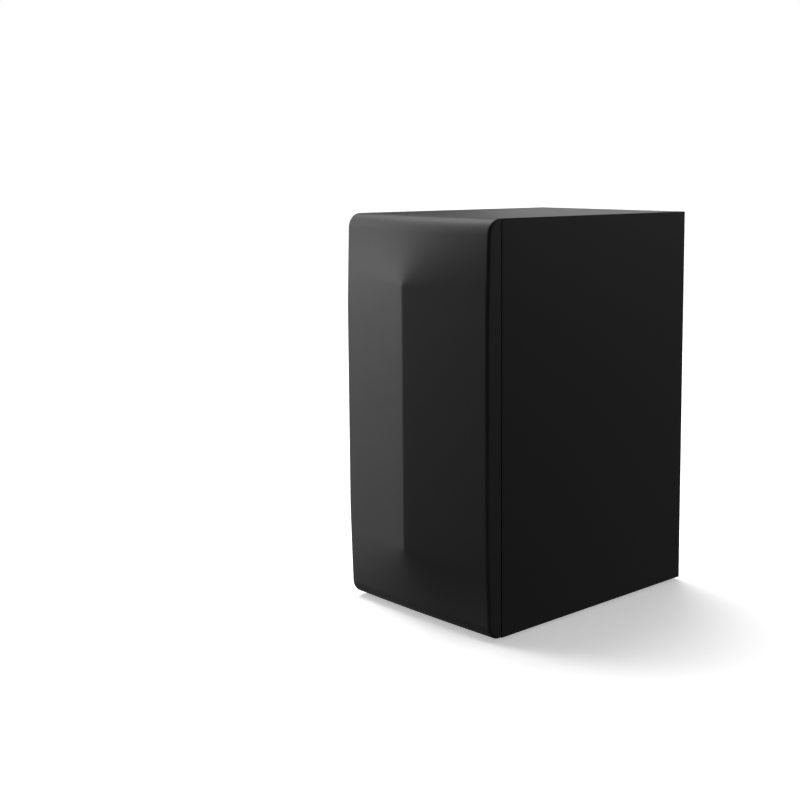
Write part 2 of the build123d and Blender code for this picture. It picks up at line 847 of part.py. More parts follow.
with BuildPart() as amp_plate:
    with BuildSketch(rear_plane(plate_inner_y)):
        RectangleRounded(amp_width, amp_height, amp_corner)
        with GridLocations(amp_screw_spacing_x, amp_screw_spacing_z, 2, 3):
            Circle(screw_shank_radius + 2 * slip_clearance, mode=Mode.SUBTRACT)
        with Locations((0, inlet_offset_z)):
            RectangleRounded(inlet_body_width + 2 * slip_clearance,
                             inlet_body_height + 2 * slip_clearance, 2, mode=Mode.SUBTRACT)
        with Locations(button_offset):
            Circle(button_radius + running_clearance, mode=Mode.SUBTRACT)
        with Locations(light_offset):
            Circle(light_radius + press_clearance, mode=Mode.SUBTRACT)
    extrude(amount=amp_plate_thickness)
save(amp_plate, "amp_plate")

with BuildPart() as amp_screws:
    with BuildSketch(rear_plane(plate_outer_y)):
        with GridLocations(amp_screw_spacing_x, amp_screw_spacing_z, 2, 3):
            Circle(screw_head_radius)
    extrude(amount=screw_head_height)
    chamfer(amp_screws.faces().filter_by(Axis.Y).group_by(Axis.Y)[-1].edges(), length=0.6)
    with BuildSketch(rear_plane(plate_outer_y)):
        with GridLocations(amp_screw_spacing_x, amp_screw_spacing_z, 2, 3):
            Circle(screw_shank_radius)
    extrude(amount=-amp_screw_length)
save(amp_screws, "amp_screws")

board_hole_x = board_width - 2 * board_hole_inset
board_hole_z = board_height - 2 * board_hole_inset
board_screw_radius = 1.4
board_hole_radius = board_screw_radius + slip_clearance
with BuildPart() as amp_board:
    with BuildSketch(rear_plane(board_inner_y, z=board_z)):
        Rectangle(board_width, board_height)
        with GridLocations(board_hole_x, board_hole_z, 2, 2):
            Circle(board_hole_radius, mode=Mode.SUBTRACT)
    extrude(amount=board_thickness)
save(amp_board, "amp_board")

with BuildPart() as board_spacers:
    with BuildSketch(rear_plane(board_outer_y, z=board_z)):
        with GridLocations(board_hole_x, board_hole_z, 2, 2):
            RegularPolygon(spacer_radius, 6)
            Circle(board_hole_radius, mode=Mode.SUBTRACT)
    extrude(amount=spacer_length)
save(board_spacers, "board_spacers")

board_head_radius = 2.7
board_head_height = 1.8
board_screw_length = 7.0
with BuildPart() as board_screws:
    with BuildSketch(rear_plane(board_inner_y, z=board_z)):
        with GridLocations(board_hole_x, board_hole_z, 2, 2):
            Circle(board_head_radius)
    extrude(amount=-board_head_height)
    with BuildSketch(rear_plane(board_inner_y, z=board_z)):
        with GridLocations(board_hole_x, board_hole_z, 2, 2):
            Circle(board_screw_radius)
    extrude(amount=board_screw_length)
save(board_screws, "board_screws")

# power inlet, with its two pins on a standard spacing
inlet_flange_thickness = screw_head_height
inlet_outer_y = plate_outer_y + inlet_flange_thickness
inlet_floor_y = inlet_outer_y - socket_depth
inlet_back_y = plate_outer_y - inlet_body_depth
inlet_z = amp_z + inlet_offset_z
with BuildPart() as power_inlet:
    with BuildSketch(rear_plane(plate_outer_y, z=inlet_z)):
        RectangleRounded(inlet_flange_width, inlet_flange_height, 3)
    extrude(amount=inlet_flange_thickness)
    with BuildSketch(rear_plane(plate_outer_y, z=inlet_z)):
        RectangleRounded(inlet_body_width, inlet_body_height, 2)
    extrude(amount=-inlet_body_depth)
    with BuildSketch(rear_plane(inlet_outer_y, z=inlet_z)):
        SlotOverall(socket_width, socket_height)
    extrude(amount=-socket_depth, mode=Mode.SUBTRACT)
    with BuildSketch(rear_plane(inlet_floor_y, z=inlet_z)):
        with GridLocations(pin_spacing, 0, 2, 1):
            Circle(pin_radius + press_clearance)
    extrude(amount=inlet_back_y - inlet_floor_y, mode=Mode.SUBTRACT)
save(power_inlet, "power_inlet")

with BuildPart() as inlet_pins:
    with BuildSketch(rear_plane(inlet_back_y - pin_tail, z=inlet_z)):
        with GridLocations(pin_spacing, 0, 2, 1):
            Circle(pin_radius)
    extrude(amount=inlet_floor_y + pin_length - inlet_back_y + pin_tail)
    fillet(inlet_pins.faces().filter_by(Axis.Y).group_by(Axis.Y)[-1].edges(), radius=0.7)
save(inlet_pins, "inlet_pins")

# pairing button over its switch, and the light pipe over its lamp
button_x = -button_offset[0]
button_z = amp_z + button_offset[1]
light_x = -light_offset[0]
light_z = amp_z + light_offset[1]
switch_height = 3.4
plunger_height = 0.8
switch_top_y = board_outer_y + switch_height + plunger_height
stem_end_y = switch_top_y + button_travel + slip_clearance
button_flange_y = plate_inner_y - soft_clearance
with BuildPart() as pair_button:
    with BuildSketch(rear_plane(button_flange_y, button_x, button_z)):
        Circle(button_radius)
    extrude(amount=plate_outer_y + button_stand - button_flange_y)
    fillet(pair_button.faces().sort_by(Axis.Y)[-1].edges(), radius=0.5)
    with BuildSketch(rear_plane(button_flange_y, button_x, button_z)):
        Circle(button_radius + 1.3)
    extrude(amount=-1.2)
    with BuildSketch(rear_plane(button_flange_y, button_x, button_z)):
        Circle(button_radius - 1.0)
    extrude(amount=stem_end_y - button_flange_y)
save(pair_button, "pair_button")

with BuildPart() as tact_switch:
    with BuildSketch(rear_plane(board_outer_y, button_x, button_z)):
        Rectangle(6.0, 6.0)
    extrude(amount=switch_height)
    with BuildSketch(rear_plane(board_outer_y + switch_height, button_x, button_z)):
        Circle(1.7)
    extrude(amount=plunger_height)
save(tact_switch, "tact_switch")

lamp_height = 3.0
with BuildPart() as status_led:
    with BuildSketch(rear_plane(board_outer_y, light_x, light_z)):
        Circle(light_radius)
    extrude(amount=lamp_height)
    fillet(status_led.faces().sort_by(Axis.Y)[-1].edges(), radius=1.2)
save(status_led, "status_led")

with BuildPart() as status_light:
    with BuildSketch(rear_plane(board_outer_y + lamp_height + slip_clearance, light_x, light_z)):
        Circle(light_radius)
    extrude(amount=plate_outer_y + 0.5 - board_outer_y - lamp_height - slip_clearance)
    fillet(status_light.faces().sort_by(Axis.Y)[-1].edges(), radius=0.4)
save(status_light, "status_light")

# parts on the inner side of the board; each x and z is the part's middle
transformer_x = 22.0
transformer_z = amp_z + 4.0
core_width = 30.0
core_height = 24.0
core_thickness = 12.0
core_leg = 8.0
core_yoke = 4.0
with BuildPart() as transformer_core:
    with BuildSketch(Plane.XY.offset(transformer_z - core_thickness / 2)):
        with Locations((transformer_x, board_inner_y - core_height / 2)):
            Rectangle(core_width, core_height)
            window = (core_width - core_leg) / 2 - core_yoke
            with GridLocations(core_leg + window, 0, 2, 1):
                Rectangle(window, core_height - 2 * core_yoke, mode=Mode.SUBTRACT)
    extrude(amount=core_thickness)
    chamfer(transformer_core.edges().filter_by(Axis.Z).group_by(Axis.X)[0], length=1)
    chamfer(transformer_core.edges().filter_by(Axis.Z).group_by(Axis.X)[-1], length=1)
save(transformer_core, "transformer_core")

winding_margin = 0.2
with BuildPart() as transformer_winding:
    with BuildSketch(front_plane(board_inner_y - core_yoke - winding_margin,
                                 transformer_x, transformer_z)):
        RectangleRounded(
            core_width - 2 * core_yoke - 2 * winding_margin,
            core_thickness + core_width - 2 * core_yoke - core_leg,
            5,
        )
        Rectangle(core_leg + 2 * winding_margin, core_thickness + 2 * winding_margin,
                  mode=Mode.SUBTRACT)
    extrude(amount=core_height - 2 * core_yoke - 2 * winding_margin)
save(transformer_winding, "transformer_winding")

capacitor_radius = 8.0
capacitor_length = 28.0
with BuildPart() as bulk_capacitors:
    with BuildSketch(front_plane(board_inner_y, -18.0, amp_z - 6.0)):
        with GridLocations(2 * capacitor_radius + 2, 0, 2, 1):
            Circle(capacitor_radius)
    extrude(amount=capacitor_length)
    fillet(bulk_capacitors.faces().filter_by(Axis.Y).group_by(Axis.Y)[0].edges(), radius=1.2)
save(bulk_capacitors, "bulk_capacitors")

toroid_radius = 5.5
toroid_section = 2.6
with BuildPart() as inductors:
    with Locations((7.0, board_inner_y - toroid_section, amp_z + 27.0),
                   (27.0, board_inner_y - toroid_section, amp_z + 27.0)):
        Torus(toroid_radius, toroid_section, rotation=(90, 0, 0))
save(inductors, "inductors")

chip_height = 2.2
chip_x = -20.0
chip_z = amp_z + 24.0
with BuildPart() as amp_chip:
    with BuildSketch(front_plane(board_inner_y, chip_x, chip_z)):
        Rectangle(14.0, 14.0)
    extrude(amount=chip_height)
save(amp_chip, "amp_chip")

sink_width = 34.0
sink_height = 30.0
sink_base = 3.0
sink_fin_length = 15.0
sink_fins = 8
sink_fin_thickness = 1.4
with BuildPart() as heat_sink:
    with BuildSketch(front_plane(board_inner_y - chip_height, chip_x, chip_z)):
        Rectangle(sink_width, sink_height)
    extrude(amount=sink_base)
    with BuildSketch(front_plane(board_inner_y - chip_height - sink_base, chip_x, chip_z)):
        with GridLocations((sink_width - sink_fin_thickness) / (sink_fins - 1), 0, sink_fins, 1):
            Rectangle(sink_fin_thickness, sink_height)
    extrude(amount=sink_fin_length)
save(heat_sink, "heat_sink")

connector_x = -26.0
connector_z = amp_z + 45.0
connector_height = 8.0
with BuildPart() as speaker_connector:
    with BuildSketch(front_plane(board_inner_y, connector_x, connector_z)):
        Rectangle(11.0, 7.0)
    extrude(amount=connector_height)
    chamfer(speaker_connector.faces().sort_by(Axis.Y)[0].edges(), length=0.5)
save(speaker_connector, "speaker_connector")

radio_x = 38.5
with BuildPart() as wireless_board:
    with BuildSketch(front_plane(board_inner_y, radio_x, amp_z + 2.0)):
        Rectangle(1.0, 26.0)
    extrude(amount=18.0)
save(wireless_board, "wireless_board")

# ---------------------------------------------------------------- leads held inside
connector_top_y = board_inner_y - connector_height
speaker_lead_red = lead([
    (crimp_end_x, middle_y + tag_gap / 2, tag_z),
    (-19.0, middle_y + tag_gap / 2, tag_z),
    (-8.0, 38.0, 217.0),
    (-9.0, 62.0, 198.0),
    (-15.0, 78.0, 175.0),
    (-22.0, 84.0, 157.0),
    (connector_x + 2.0, 89.0, connector_z),
    (connector_x + 2.0, connector_top_y, connector_z),
], lead_radius)
save(speaker_lead_red, "speaker_lead_red")

speaker_lead_black = lead([
    (crimp_end_x, middle_y - tag_gap / 2, tag_z),
    (-18.0, middle_y - tag_gap / 2, tag_z),
    (-3.0, 31.0, 224.0),
    (-2.0, 60.0, 207.0),
    (-13.0, 83.0, 182.0),
    (-23.0, 88.0, 161.0),
    (connector_x - 2.0, 89.0, connector_z),
    (connector_x - 2.0, connector_top_y, connector_z),
], lead_radius)
save(speaker_lead_black, "speaker_lead_black")

mains_pair = []
for mains_side in (-1, 1):
    mains_x = mains_side * pin_spacing / 2
    mains_pair.append(lead([
        (mains_x, inlet_back_y - pin_tail, inlet_z),
        (mains_x, 93.0, inlet_z),
        (mains_x - 0.5, 88.0, inlet_z + 13.0),
        (mains_x, 96.0, inlet_z + 25.0),
        (mains_x, board_inner_y, inlet_z + 25.0),
    ], lead_radius))
with BuildPart() as mains_leads:
    for mains in mains_pair:
        add(mains.part)
save(mains_leads, "mains_leads")
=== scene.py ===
"""Looks of a compact wireless subwoofer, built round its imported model.

The boards, the ridged front cover, the grille, the driver, the port and the amplifier plate are each
a class that makes and dresses its own meshes. Sizes are millimetres and meshes are metres.
"""

import json
import logging
import math
from dataclasses import dataclass
from enum import Enum
from typing import Any, Iterable, Sequence

import bmesh
import bpy
from mathutils import Matrix, Vector, noise
from mathutils.geometry import tessellate_polygon


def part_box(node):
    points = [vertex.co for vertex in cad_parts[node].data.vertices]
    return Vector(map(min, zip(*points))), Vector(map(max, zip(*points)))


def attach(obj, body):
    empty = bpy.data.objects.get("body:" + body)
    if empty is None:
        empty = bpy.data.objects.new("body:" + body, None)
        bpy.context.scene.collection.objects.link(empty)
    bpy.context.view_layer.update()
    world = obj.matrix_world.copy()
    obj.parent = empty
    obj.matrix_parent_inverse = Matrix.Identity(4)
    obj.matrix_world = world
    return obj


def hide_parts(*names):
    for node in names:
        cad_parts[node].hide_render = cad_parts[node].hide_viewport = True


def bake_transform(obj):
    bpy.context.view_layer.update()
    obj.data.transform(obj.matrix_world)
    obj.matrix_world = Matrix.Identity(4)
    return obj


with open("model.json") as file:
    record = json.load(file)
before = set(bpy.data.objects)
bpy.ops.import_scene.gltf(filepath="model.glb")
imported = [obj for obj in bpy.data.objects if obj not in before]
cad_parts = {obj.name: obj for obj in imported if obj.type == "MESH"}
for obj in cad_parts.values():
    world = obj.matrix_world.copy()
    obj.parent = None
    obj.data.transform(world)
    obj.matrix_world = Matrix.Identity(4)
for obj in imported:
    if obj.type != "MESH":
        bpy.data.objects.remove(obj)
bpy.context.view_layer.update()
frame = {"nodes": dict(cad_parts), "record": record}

MM = 0.001
LOG = logging.getLogger("subwoofer")
Outline = list[tuple[float, float]]
Triple = tuple[float, float, float]
Inputs = Sequence[tuple[str, str, Any]]


# ---------------------------------------------------------------- nodes and colours
def linear(colour: str) -> tuple[float, ...]:
    """Turns an sRGB hex colour to linear light.

    Args:
        colour: the colour as #rrggbb.

    Returns:
        Red, green, blue and a full alpha.
    """
    parts = [int(colour[i:i + 2], 16) / 255 for i in (1, 3, 5)]
    red, green, blue = (c / 12.92 if c <= 0.04045 else ((c + 0.055) / 1.055) ** 2.4 for c in parts)
    return red, green, blue, 1.0


def add_node(tree: bpy.types.NodeTree, kind: str, sockets: dict[Any, Any] | None = None,
             **settings: Any) -> bpy.types.Node:
    """Adds a node with its settings, values and links.

    Args:
        tree: the tree that gets the node.
        kind: the node's type.
        sockets: values and links by input name or number. An output socket is linked, and
            anything else is set.
        settings: the node's own properties.

    Returns:
        The new node.
    """
    made = tree.nodes.new(kind)
    for name, value in settings.items():
        setattr(made, name, value)
    for key, value in (sockets or {}).items():
        if isinstance(value, bpy.types.NodeSocket):
            tree.links.new(value, made.inputs[key])
        else:
            made.inputs[key].default_value = value
    return made


def emptied(owner: bpy.types.Material | bpy.types.World) -> bpy.types.NodeTree:
    """Turns on the nodes of a material or a world and empties its tree."""
    owner.use_nodes = True
    owner.node_tree.nodes.clear()
    return owner.node_tree


# ---------------------------------------------------------------- finishes
class Grain(Enum):
    """How a finish draws its small relief."""

    SPARK = "fine even pits"
    PEBBLE = "rounded pebbles"
    FIBRE = "matted fibres"
    CELL = "open foam cells"
    TURNED = "rings about the driver"
    DRAWN = "long drawn lines"
    KNIT = "knitted mesh"
    WOVEN = "plain weave"
    WOUND = "side by side wires"
    TRACK = "copper tracks under lacquer"


@dataclass(frozen=True)
class Finish:
    """A real material and how its surface was made.

    Sizes are millimetres. The fleck is the colour that the base drifts towards. The relief's low
    places are painted darker by the given share, as painted shade.
    """

    name: str
    colour: str
    fleck: str
    fleck_size: float
    roughness: float
    grain: Grain
    grain_size: float
    grain_height: float
    roughness_spread: float = 0.05
    # Painted shade: how far the relief's low places are mixed towards black.
    low_place_shade: float = 0.15
    metallic: float = 0.0
    ior: float = 1.5
    specular: float = 0.5
    sheen: float = 0.0
    coat: float = 0.0
    transmission: float = 0.0
    along: Triple = (1.0, 1.0, 1.0)
    centre: Triple = (0.0, 0.0, 0.0)

    def relief(self, tree: bpy.types.NodeTree, place: bpy.types.NodeSocket) -> bpy.types.NodeSocket:
        """Draws the height of the grain, from 0 to 1.

        Args:
            tree: the material's tree.
            place: the position on the piece, in millimetres.

        Returns:
            The socket with the height.
        """
        fine = 1 / self.grain_size
        if self.grain in (Grain.SPARK, Grain.FIBRE, Grain.DRAWN):
            detail, twist = (6.0, 2.5) if self.grain is Grain.FIBRE else (3.0, 0.0)
            mapped = add_node(tree, "ShaderNodeMapping", {"Vector": place, "Scale": self.along})
            return add_node(tree, "ShaderNodeTexNoise", {
                "Vector": mapped.outputs[0], "Scale": fine, "Detail": detail,
                "Roughness": 0.65, "Distortion": twist}).outputs[0]
        if self.grain is Grain.PEBBLE:
            return add_node(tree, "ShaderNodeTexVoronoi", {
                "Vector": place, "Scale": fine, "Smoothness": 0.6},
                feature="SMOOTH_F1").outputs["Distance"]
        if self.grain is Grain.CELL:
            return add_node(tree, "ShaderNodeTexVoronoi", {"Vector": place, "Scale": fine},
                            feature="DISTANCE_TO_EDGE").outputs["Distance"]
        if self.grain is Grain.KNIT:
            return add_node(tree, "ShaderNodeTexVoronoi", {
                "Vector": place, "Scale": fine, "Randomness": 0.12},
                feature="F1").outputs["Distance"]
        if self.grain is Grain.TRACK:
            cells = add_node(tree, "ShaderNodeTexVoronoi", {"Vector": place, "Scale": fine},
                             feature="F1", distance="CHEBYCHEV").outputs["Distance"]
            return add_node(tree, "ShaderNodeMath", {0: cells, 1: 9.0}, operation="PINGPONG").outputs[0]
        if self.grain is Grain.TURNED:
            shifted = add_node(tree, "ShaderNodeVectorMath", {0: place, 1: self.centre},
                               operation="SUBTRACT").outputs[0]
            flat = add_node(tree, "ShaderNodeVectorMath", {0: shifted, 1: self.along},
                            operation="MULTIPLY").outputs[0]
            radius = add_node(tree, "ShaderNodeVectorMath", {0: flat}, operation="LENGTH").outputs[1]
            return add_node(tree, "ShaderNodeTexNoise", {"W": radius, "Scale": fine, "Detail": 3.0},
                            noise_dimensions="1D").outputs[0]
        parts = add_node(tree, "ShaderNodeSeparateXYZ", {0: place})
        waves = []
        for axis in (0,) if self.grain is Grain.WOUND else (1, 2):
            turns = add_node(tree, "ShaderNodeMath", {0: parts.outputs[axis], 1: 2 * math.pi * fine},
                             operation="MULTIPLY").outputs[0]
            waves.append(add_node(tree, "ShaderNodeMath", {0: turns}, operation="SINE").outputs[0])
        crossed = add_node(tree, "ShaderNodeMath", {0: waves[0], 1: waves[-1]}, operation="MULTIPLY")
        return add_node(tree, "ShaderNodeMapRange", {
            0: crossed.outputs[0], 1: 0.0 if self.grain is Grain.WOUND else -1.0, 2: 1.0}).outputs[0]

    def build(self) -> bpy.types.Material:
        """Builds the finish as a material of nodes."""
        material = bpy.data.materials.new(self.name)
        tree = emptied(material)
        source = add_node(tree, "ShaderNodeTexCoord").outputs[
            "UV" if self.grain is Grain.KNIT else "Object"]
        place = add_node(tree, "ShaderNodeVectorMath", {0: source, 3: 1 / MM},
                         operation="SCALE").outputs[0]
        height = self.relief(tree, place)
        cloud = add_node(tree, "ShaderNodeTexNoise", {
            "Vector": place, "Scale": 1 / self.fleck_size, "Detail": 4.0, "Roughness": 0.6}).outputs[0]
        drift = add_node(tree, "ShaderNodeMapRange", {0: cloud, 1: 0.32, 2: 0.68}).outputs[0]
        tone = add_node(tree, "ShaderNodeMix", {
            0: drift, 6: linear(self.colour), 7: linear(self.fleck)}, data_type="RGBA").outputs[2]
        # Painted shade: the relief's low places are mixed towards black, as shade that falls in them.
        painted_low_shade = add_node(tree, "ShaderNodeMapRange", {0: height, 1: 0.15, 2: 0.6, 3: self.low_place_shade,
                                                       4: 0.0}).outputs[0]
        shaded = add_node(tree, "ShaderNodeMix", {0: painted_low_shade, 6: tone, 7: linear("#000000")},
                          data_type="RGBA").outputs[2]
        dull = add_node(tree, "ShaderNodeMapRange", {
            0: cloud, 1: 0.3, 2: 0.7, 3: self.roughness - self.roughness_spread,
            4: self.roughness + self.roughness_spread}).outputs[0]
        bump = add_node(tree, "ShaderNodeBump", {
            "Height": height, "Strength": 1.0, "Distance": self.grain_height * MM}).outputs[0]
        shader = add_node(tree, "ShaderNodeBsdfPrincipled", {
            "Base Color": shaded, "Roughness": dull, "Metallic": self.metallic, "IOR": self.ior,
            "Specular IOR Level": self.specular, "Sheen Weight": self.sheen, "Coat Weight": self.coat,
            "Coat Roughness": 0.2, "Transmission Weight": self.transmission, "Normal": bump})
        add_node(tree, "ShaderNodeOutputMaterial", {"Surface": shader.outputs[0]})
        return material


DRIVER_CENTRE = (-75.5, 12.0, 155.0)

FINISHES: dict[str, Finish] = {
    # Printed PVC foil hot-wrapped over fibreboard: an even, nearly matt black with a faint pebble.
    "cabinet_foil": Finish("black_vinyl_foil", "#191919", "#1b1b1b", 60.0, 0.48, Grain.PEBBLE, 0.9,
                           0.012, roughness_spread=0.015, specular=0.3, low_place_shade=0.12),
    # Sawn fibreboard: pale brown, with matted wood fibres.
    "raw_fibreboard": Finish("sawn_fibreboard", "#8f6b46", "#a5825a", 9.0, 0.85, Grain.FIBRE, 1.4,
                             0.08, low_place_shade=0.45, specular=0.3),
    # The same board sprayed with black water paint, which leaves the fibres standing.
    "black_fibreboard": Finish("black_stained_fibreboard", "#141414", "#1f1d1b", 12.0, 0.75,
                               Grain.FIBRE, 1.2, 0.06, low_place_shade=0.3, specular=0.3),
    # ABS moulded in a spark-eroded tool: a silky matt black with fine even pits.
    "cover_abs": Finish("spark_eroded_abs", "#1b1b1b", "#1c1c1c", 45.0, 0.5, Grain.SPARK, 0.5,
                        0.012, roughness_spread=0.01, specular=0.35, low_place_shade=0.1),
    # Closed-cell polyethylene foam tape: dead black and slightly spongy.
    "foam": Finish("polyethylene_foam", "#0b0b0b", "#151515", 6.0, 0.95, Grain.CELL, 0.7, 0.15,
                   low_place_shade=0.5, specular=0.2),
    # Moulded EPDM rubber: dull black with a bloom of grey.
    "foot_rubber": Finish("moulded_epdm_rubber", "#131313", "#1f1f1f", 5.0, 0.8, Grain.SPARK, 0.4,
                          0.02, specular=0.35),
    # Nitrile rubber of a driver's roll: smoother, with a soft satin line of light.
    "surround_rubber": Finish("nitrile_roll_rubber", "#121213", "#1b1b1c", 8.0, 0.52, Grain.SPARK,
                              0.3, 0.01, specular=0.45),
    # Bonded polyester wadding: off-white matted fibres.
    "wadding": Finish("polyester_wadding", "#c9cbc9", "#e6e7e5", 14.0, 0.95, Grain.FIBRE, 2.6, 0.9,
                      low_place_shade=0.5, specular=0.1, sheen=0.4),
    # ABS moulded with a plain eroded texture for the parts that no one looks at.
    "black_abs": Finish("moulded_black_abs", "#161617", "#1c1c1d", 25.0, 0.55, Grain.SPARK, 0.45,
                        0.015, specular=0.45),
    # Warp-knitted polyester: rows of tiny openings between black threads, drawn 1.5 times coarse.
    "grille_knit": Finish("warp_knitted_polyester", "#242425", "#222223", 40.0, 0.85, Grain.KNIT,
                          1.5, 0.35, roughness_spread=0.02, low_place_shade=0.0, specular=0.25, sheen=0.12),
    # Pressed steel in black epoxy powder paint: a fine orange peel.
    "basket_paint": Finish("powder_painted_steel", "#171718", "#1d1d1f", 20.0, 0.42, Grain.PEBBLE,
                           1.1, 0.03, specular=0.5, low_place_shade=0.05),
    # Pressed paper pulp dyed black: short fibres and no gloss.
    "cone_paper": Finish("pressed_paper_pulp", "#1c1b1a", "#292725", 4.0, 0.88, Grain.FIBRE, 0.9,
                         0.06, low_place_shade=0.3, specular=0.25),
    # Polyimide film of the coil's former: clear amber brown.
    "former_film": Finish("polyimide_film", "#8a4a12", "#a55f1d", 10.0, 0.3, Grain.DRAWN, 0.5, 0.003,
                          along=(0.1, 1.0, 1.0)),
    # Enamelled copper wire laid side by side.
    "copper": Finish("enamelled_copper_wire", "#a8532a", "#c06a38", 6.0, 0.28, Grain.WOUND, 0.45,
                     0.08, low_place_shade=0.5, metallic=1.0),
    # Cotton and aramid weave stiffened with resin: yellow brown plain weave.
    "spider_cloth": Finish("resin_stiffened_weave", "#a8894f", "#c2a266", 8.0, 0.75, Grain.WOVEN,
                           0.9, 0.06, low_place_shade=0.45, specular=0.3),
    # Zinc plated steel: bright and slightly streaked.
    "zinc_steel": Finish("zinc_plated_steel", "#b9bbb8", "#a3a8ab", 7.0, 0.33, Grain.DRAWN, 0.6,
                         0.004, metallic=1.0, along=(1.0, 0.2, 1.0)),
    # Case-hardened steel with black zinc: dark and a little shiny.
    "black_screw": Finish("black_zinc_steel", "#232325", "#2e2e31", 3.0, 0.36, Grain.SPARK, 0.3,
                          0.008, metallic=0.85),
    # Sintered strontium ferrite: charcoal grey with grinding rings.
    "ferrite": Finish("sintered_ferrite", "#38383a", "#444447", 5.0, 0.62, Grain.TURNED, 0.5, 0.015,
                      along=(0.0, 1.0, 1.0), centre=DRIVER_CENTRE),
    # Sheet steel in matt black powder paint with a fine texture.
    "amp_plate_paint": Finish("textured_powder_paint", "#181819", "#1e1e1f", 18.0, 0.58,
                              Grain.PEBBLE, 0.8, 0.05, specular=0.4, low_place_shade=0.08),
    # Glass-epoxy laminate under green solder lacquer, with copper tracks showing through.
    "circuit_board": Finish("lacquered_glass_epoxy", "#1d5a33", "#246b3d", 9.0, 0.38, Grain.TRACK,
                            9.0, 0.03, low_place_shade=0.35, coat=0.4),
    # Extruded aluminium, black anodised: satin with lines along the fins.
    "heat_sink_black": Finish("black_anodised_aluminium", "#1b1b1d", "#232326", 12.0, 0.42,
                              Grain.DRAWN, 0.4, 0.006, metallic=0.6, along=(1.0, 1.0, 0.05)),
    # Heat-shrunk PVC sleeve of a capacitor: smooth dark blue.
    "capacitor_sleeve": Finish("shrunk_pvc_sleeve", "#15202f", "#1b2a3d", 6.0, 0.32, Grain.SPARK,
                               1.2, 0.006),
    # Moulded epoxy of a chip: matt charcoal with silica dust.
    "chip_epoxy": Finish("moulded_epoxy", "#1f2021", "#292a2b", 1.5, 0.6, Grain.SPARK, 0.15, 0.006),
    # Moulded nylon: milky white, softly shining.
    "white_nylon": Finish("moulded_nylon", "#dcd8cc", "#e8e5dc", 6.0, 0.42, Grain.SPARK, 0.5, 0.008),
    # Milky polycarbonate light pipe.
    "light_lens": Finish("milky_polycarbonate", "#cfd6da", "#dfe5e8", 2.0, 0.18, Grain.SPARK, 0.6,
                         0.003, transmission=0.35, ior=1.58),
    # PVC lead sleeves.
    "lead_red": Finish("red_pvc_sleeve", "#8e1414", "#a01c1a", 8.0, 0.42, Grain.SPARK, 0.6, 0.008),
    "lead_black": Finish("black_pvc_sleeve", "#121213", "#1a1a1b", 8.0, 0.42, Grain.SPARK, 0.6,
                         0.008),
}


class Palette:
    """The materials, built once each from their finishes."""

    def __init__(self) -> None:
        """Starts with no material built."""
        self.built: dict[str, bpy.types.Material] = {}

    def of(self, slot: str) -> bpy.types.Material:
        """The material of a slot of the record, built the first time that it is asked for."""
        if slot not in self.built:
            self.built[slot] = FINISHES[slot].build()
        return self.built[slot]

    def dress(self, piece: bpy.types.Object, slot: str) -> None:
        """Gives a piece the one material of a slot."""
        piece.data.materials.clear()
        piece.data.materials.append(self.of(slot))


PALETTE = Palette()


# ---------------------------------------------------------------- places and outlines
@dataclass(frozen=True)
class Place:
    """A flat place to draw on: its origin in millimetres and the directions of its own x and y."""

    origin: Triple
    across: Triple
    up: Triple

    def at(self, x: float, y: float, height: float = 0.0) -> Vector:
        """The point at an x and y of the place, so high above it, in millimetres."""
        across, up = Vector(self.across), Vector(self.up)
        return Vector(self.origin) + across * x + up * y + across.cross(up) * height

    def turned(self, radius: float, angle: float, height: float) -> Vector:
        """The point at a radius, an angle in radians and a height."""
        return self.at(radius * math.cos(angle), radius * math.sin(angle), height)

    def matrix(self) -> Matrix:
        """The move from the place's own axes to the shared frame, for meshes in metres."""
        across, up = Vector(self.across), Vector(self.up)
        turn = Matrix((across, up, across.cross(up))).transposed().to_4x4()
        return Matrix.Translation(Vector(self.origin) * MM) @ turn


def corners(node: str) -> tuple[Vector, Vector]:
    """The lowest and highest corner of a CAD node, in millimetres."""
    low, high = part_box(node)
    return low / MM, high / MM


def rounded(points: Sequence[Sequence[float]], steps: int = 5, closed: bool = True) -> Outline:
    """Rounds the corners of an outline with true arcs.

    Args:
        points: the corners as x, y and, where one is rounded, its radius.
        steps: how many runs an arc has.
        closed: whether the last corner joins the first.

    Returns:
        The outline's points.
    """
    made: Outline = []
    count = len(points)
    for i, point in enumerate(points):
        here = Vector(point[:2])
        radius = point[2] if len(point) > 2 else 0.0
        if radius <= 0 or (not closed and i in (0, count - 1)):
            made.append((here.x, here.y))
            continue
        before = Vector(points[i - 1][:2]) - here
        after = Vector(points[(i + 1) % count][:2]) - here
        half = before.angle(after) / 2
        reach = radius / math.tan(half)
        start, end = here + before.normalized() * reach, here + after.normalized() * reach
        for k in range(steps + 1):
            s = k / steps
            weights = ((1 - s) ** 2, 2 * math.sin(half) * s * (1 - s), s * s)
            spot = (start * weights[0] + here * weights[1] + end * weights[2]) / sum(weights)
            made.append((spot.x, spot.y))
    return made


def circle(radius: float, steps: int = 64, x: float = 0.0, y: float = 0.0) -> Outline:
    """The points of a circle."""
    return [(x + radius * math.cos(angle), y + radius * math.sin(angle))
            for angle in (2 * math.pi * i / steps for i in range(steps))]


def box_outline(width: float, height: float, radius: float = 0.0, x: float = 0.0,
                y: float = 0.0) -> Outline:
    """The points of a rectangle with rounded corners about x, y."""
    return rounded([(x + sx * width / 2, y + sy * height / 2, radius)
                    for sx, sy in ((-1, -1), (1, -1), (1, 1), (-1, 1))])


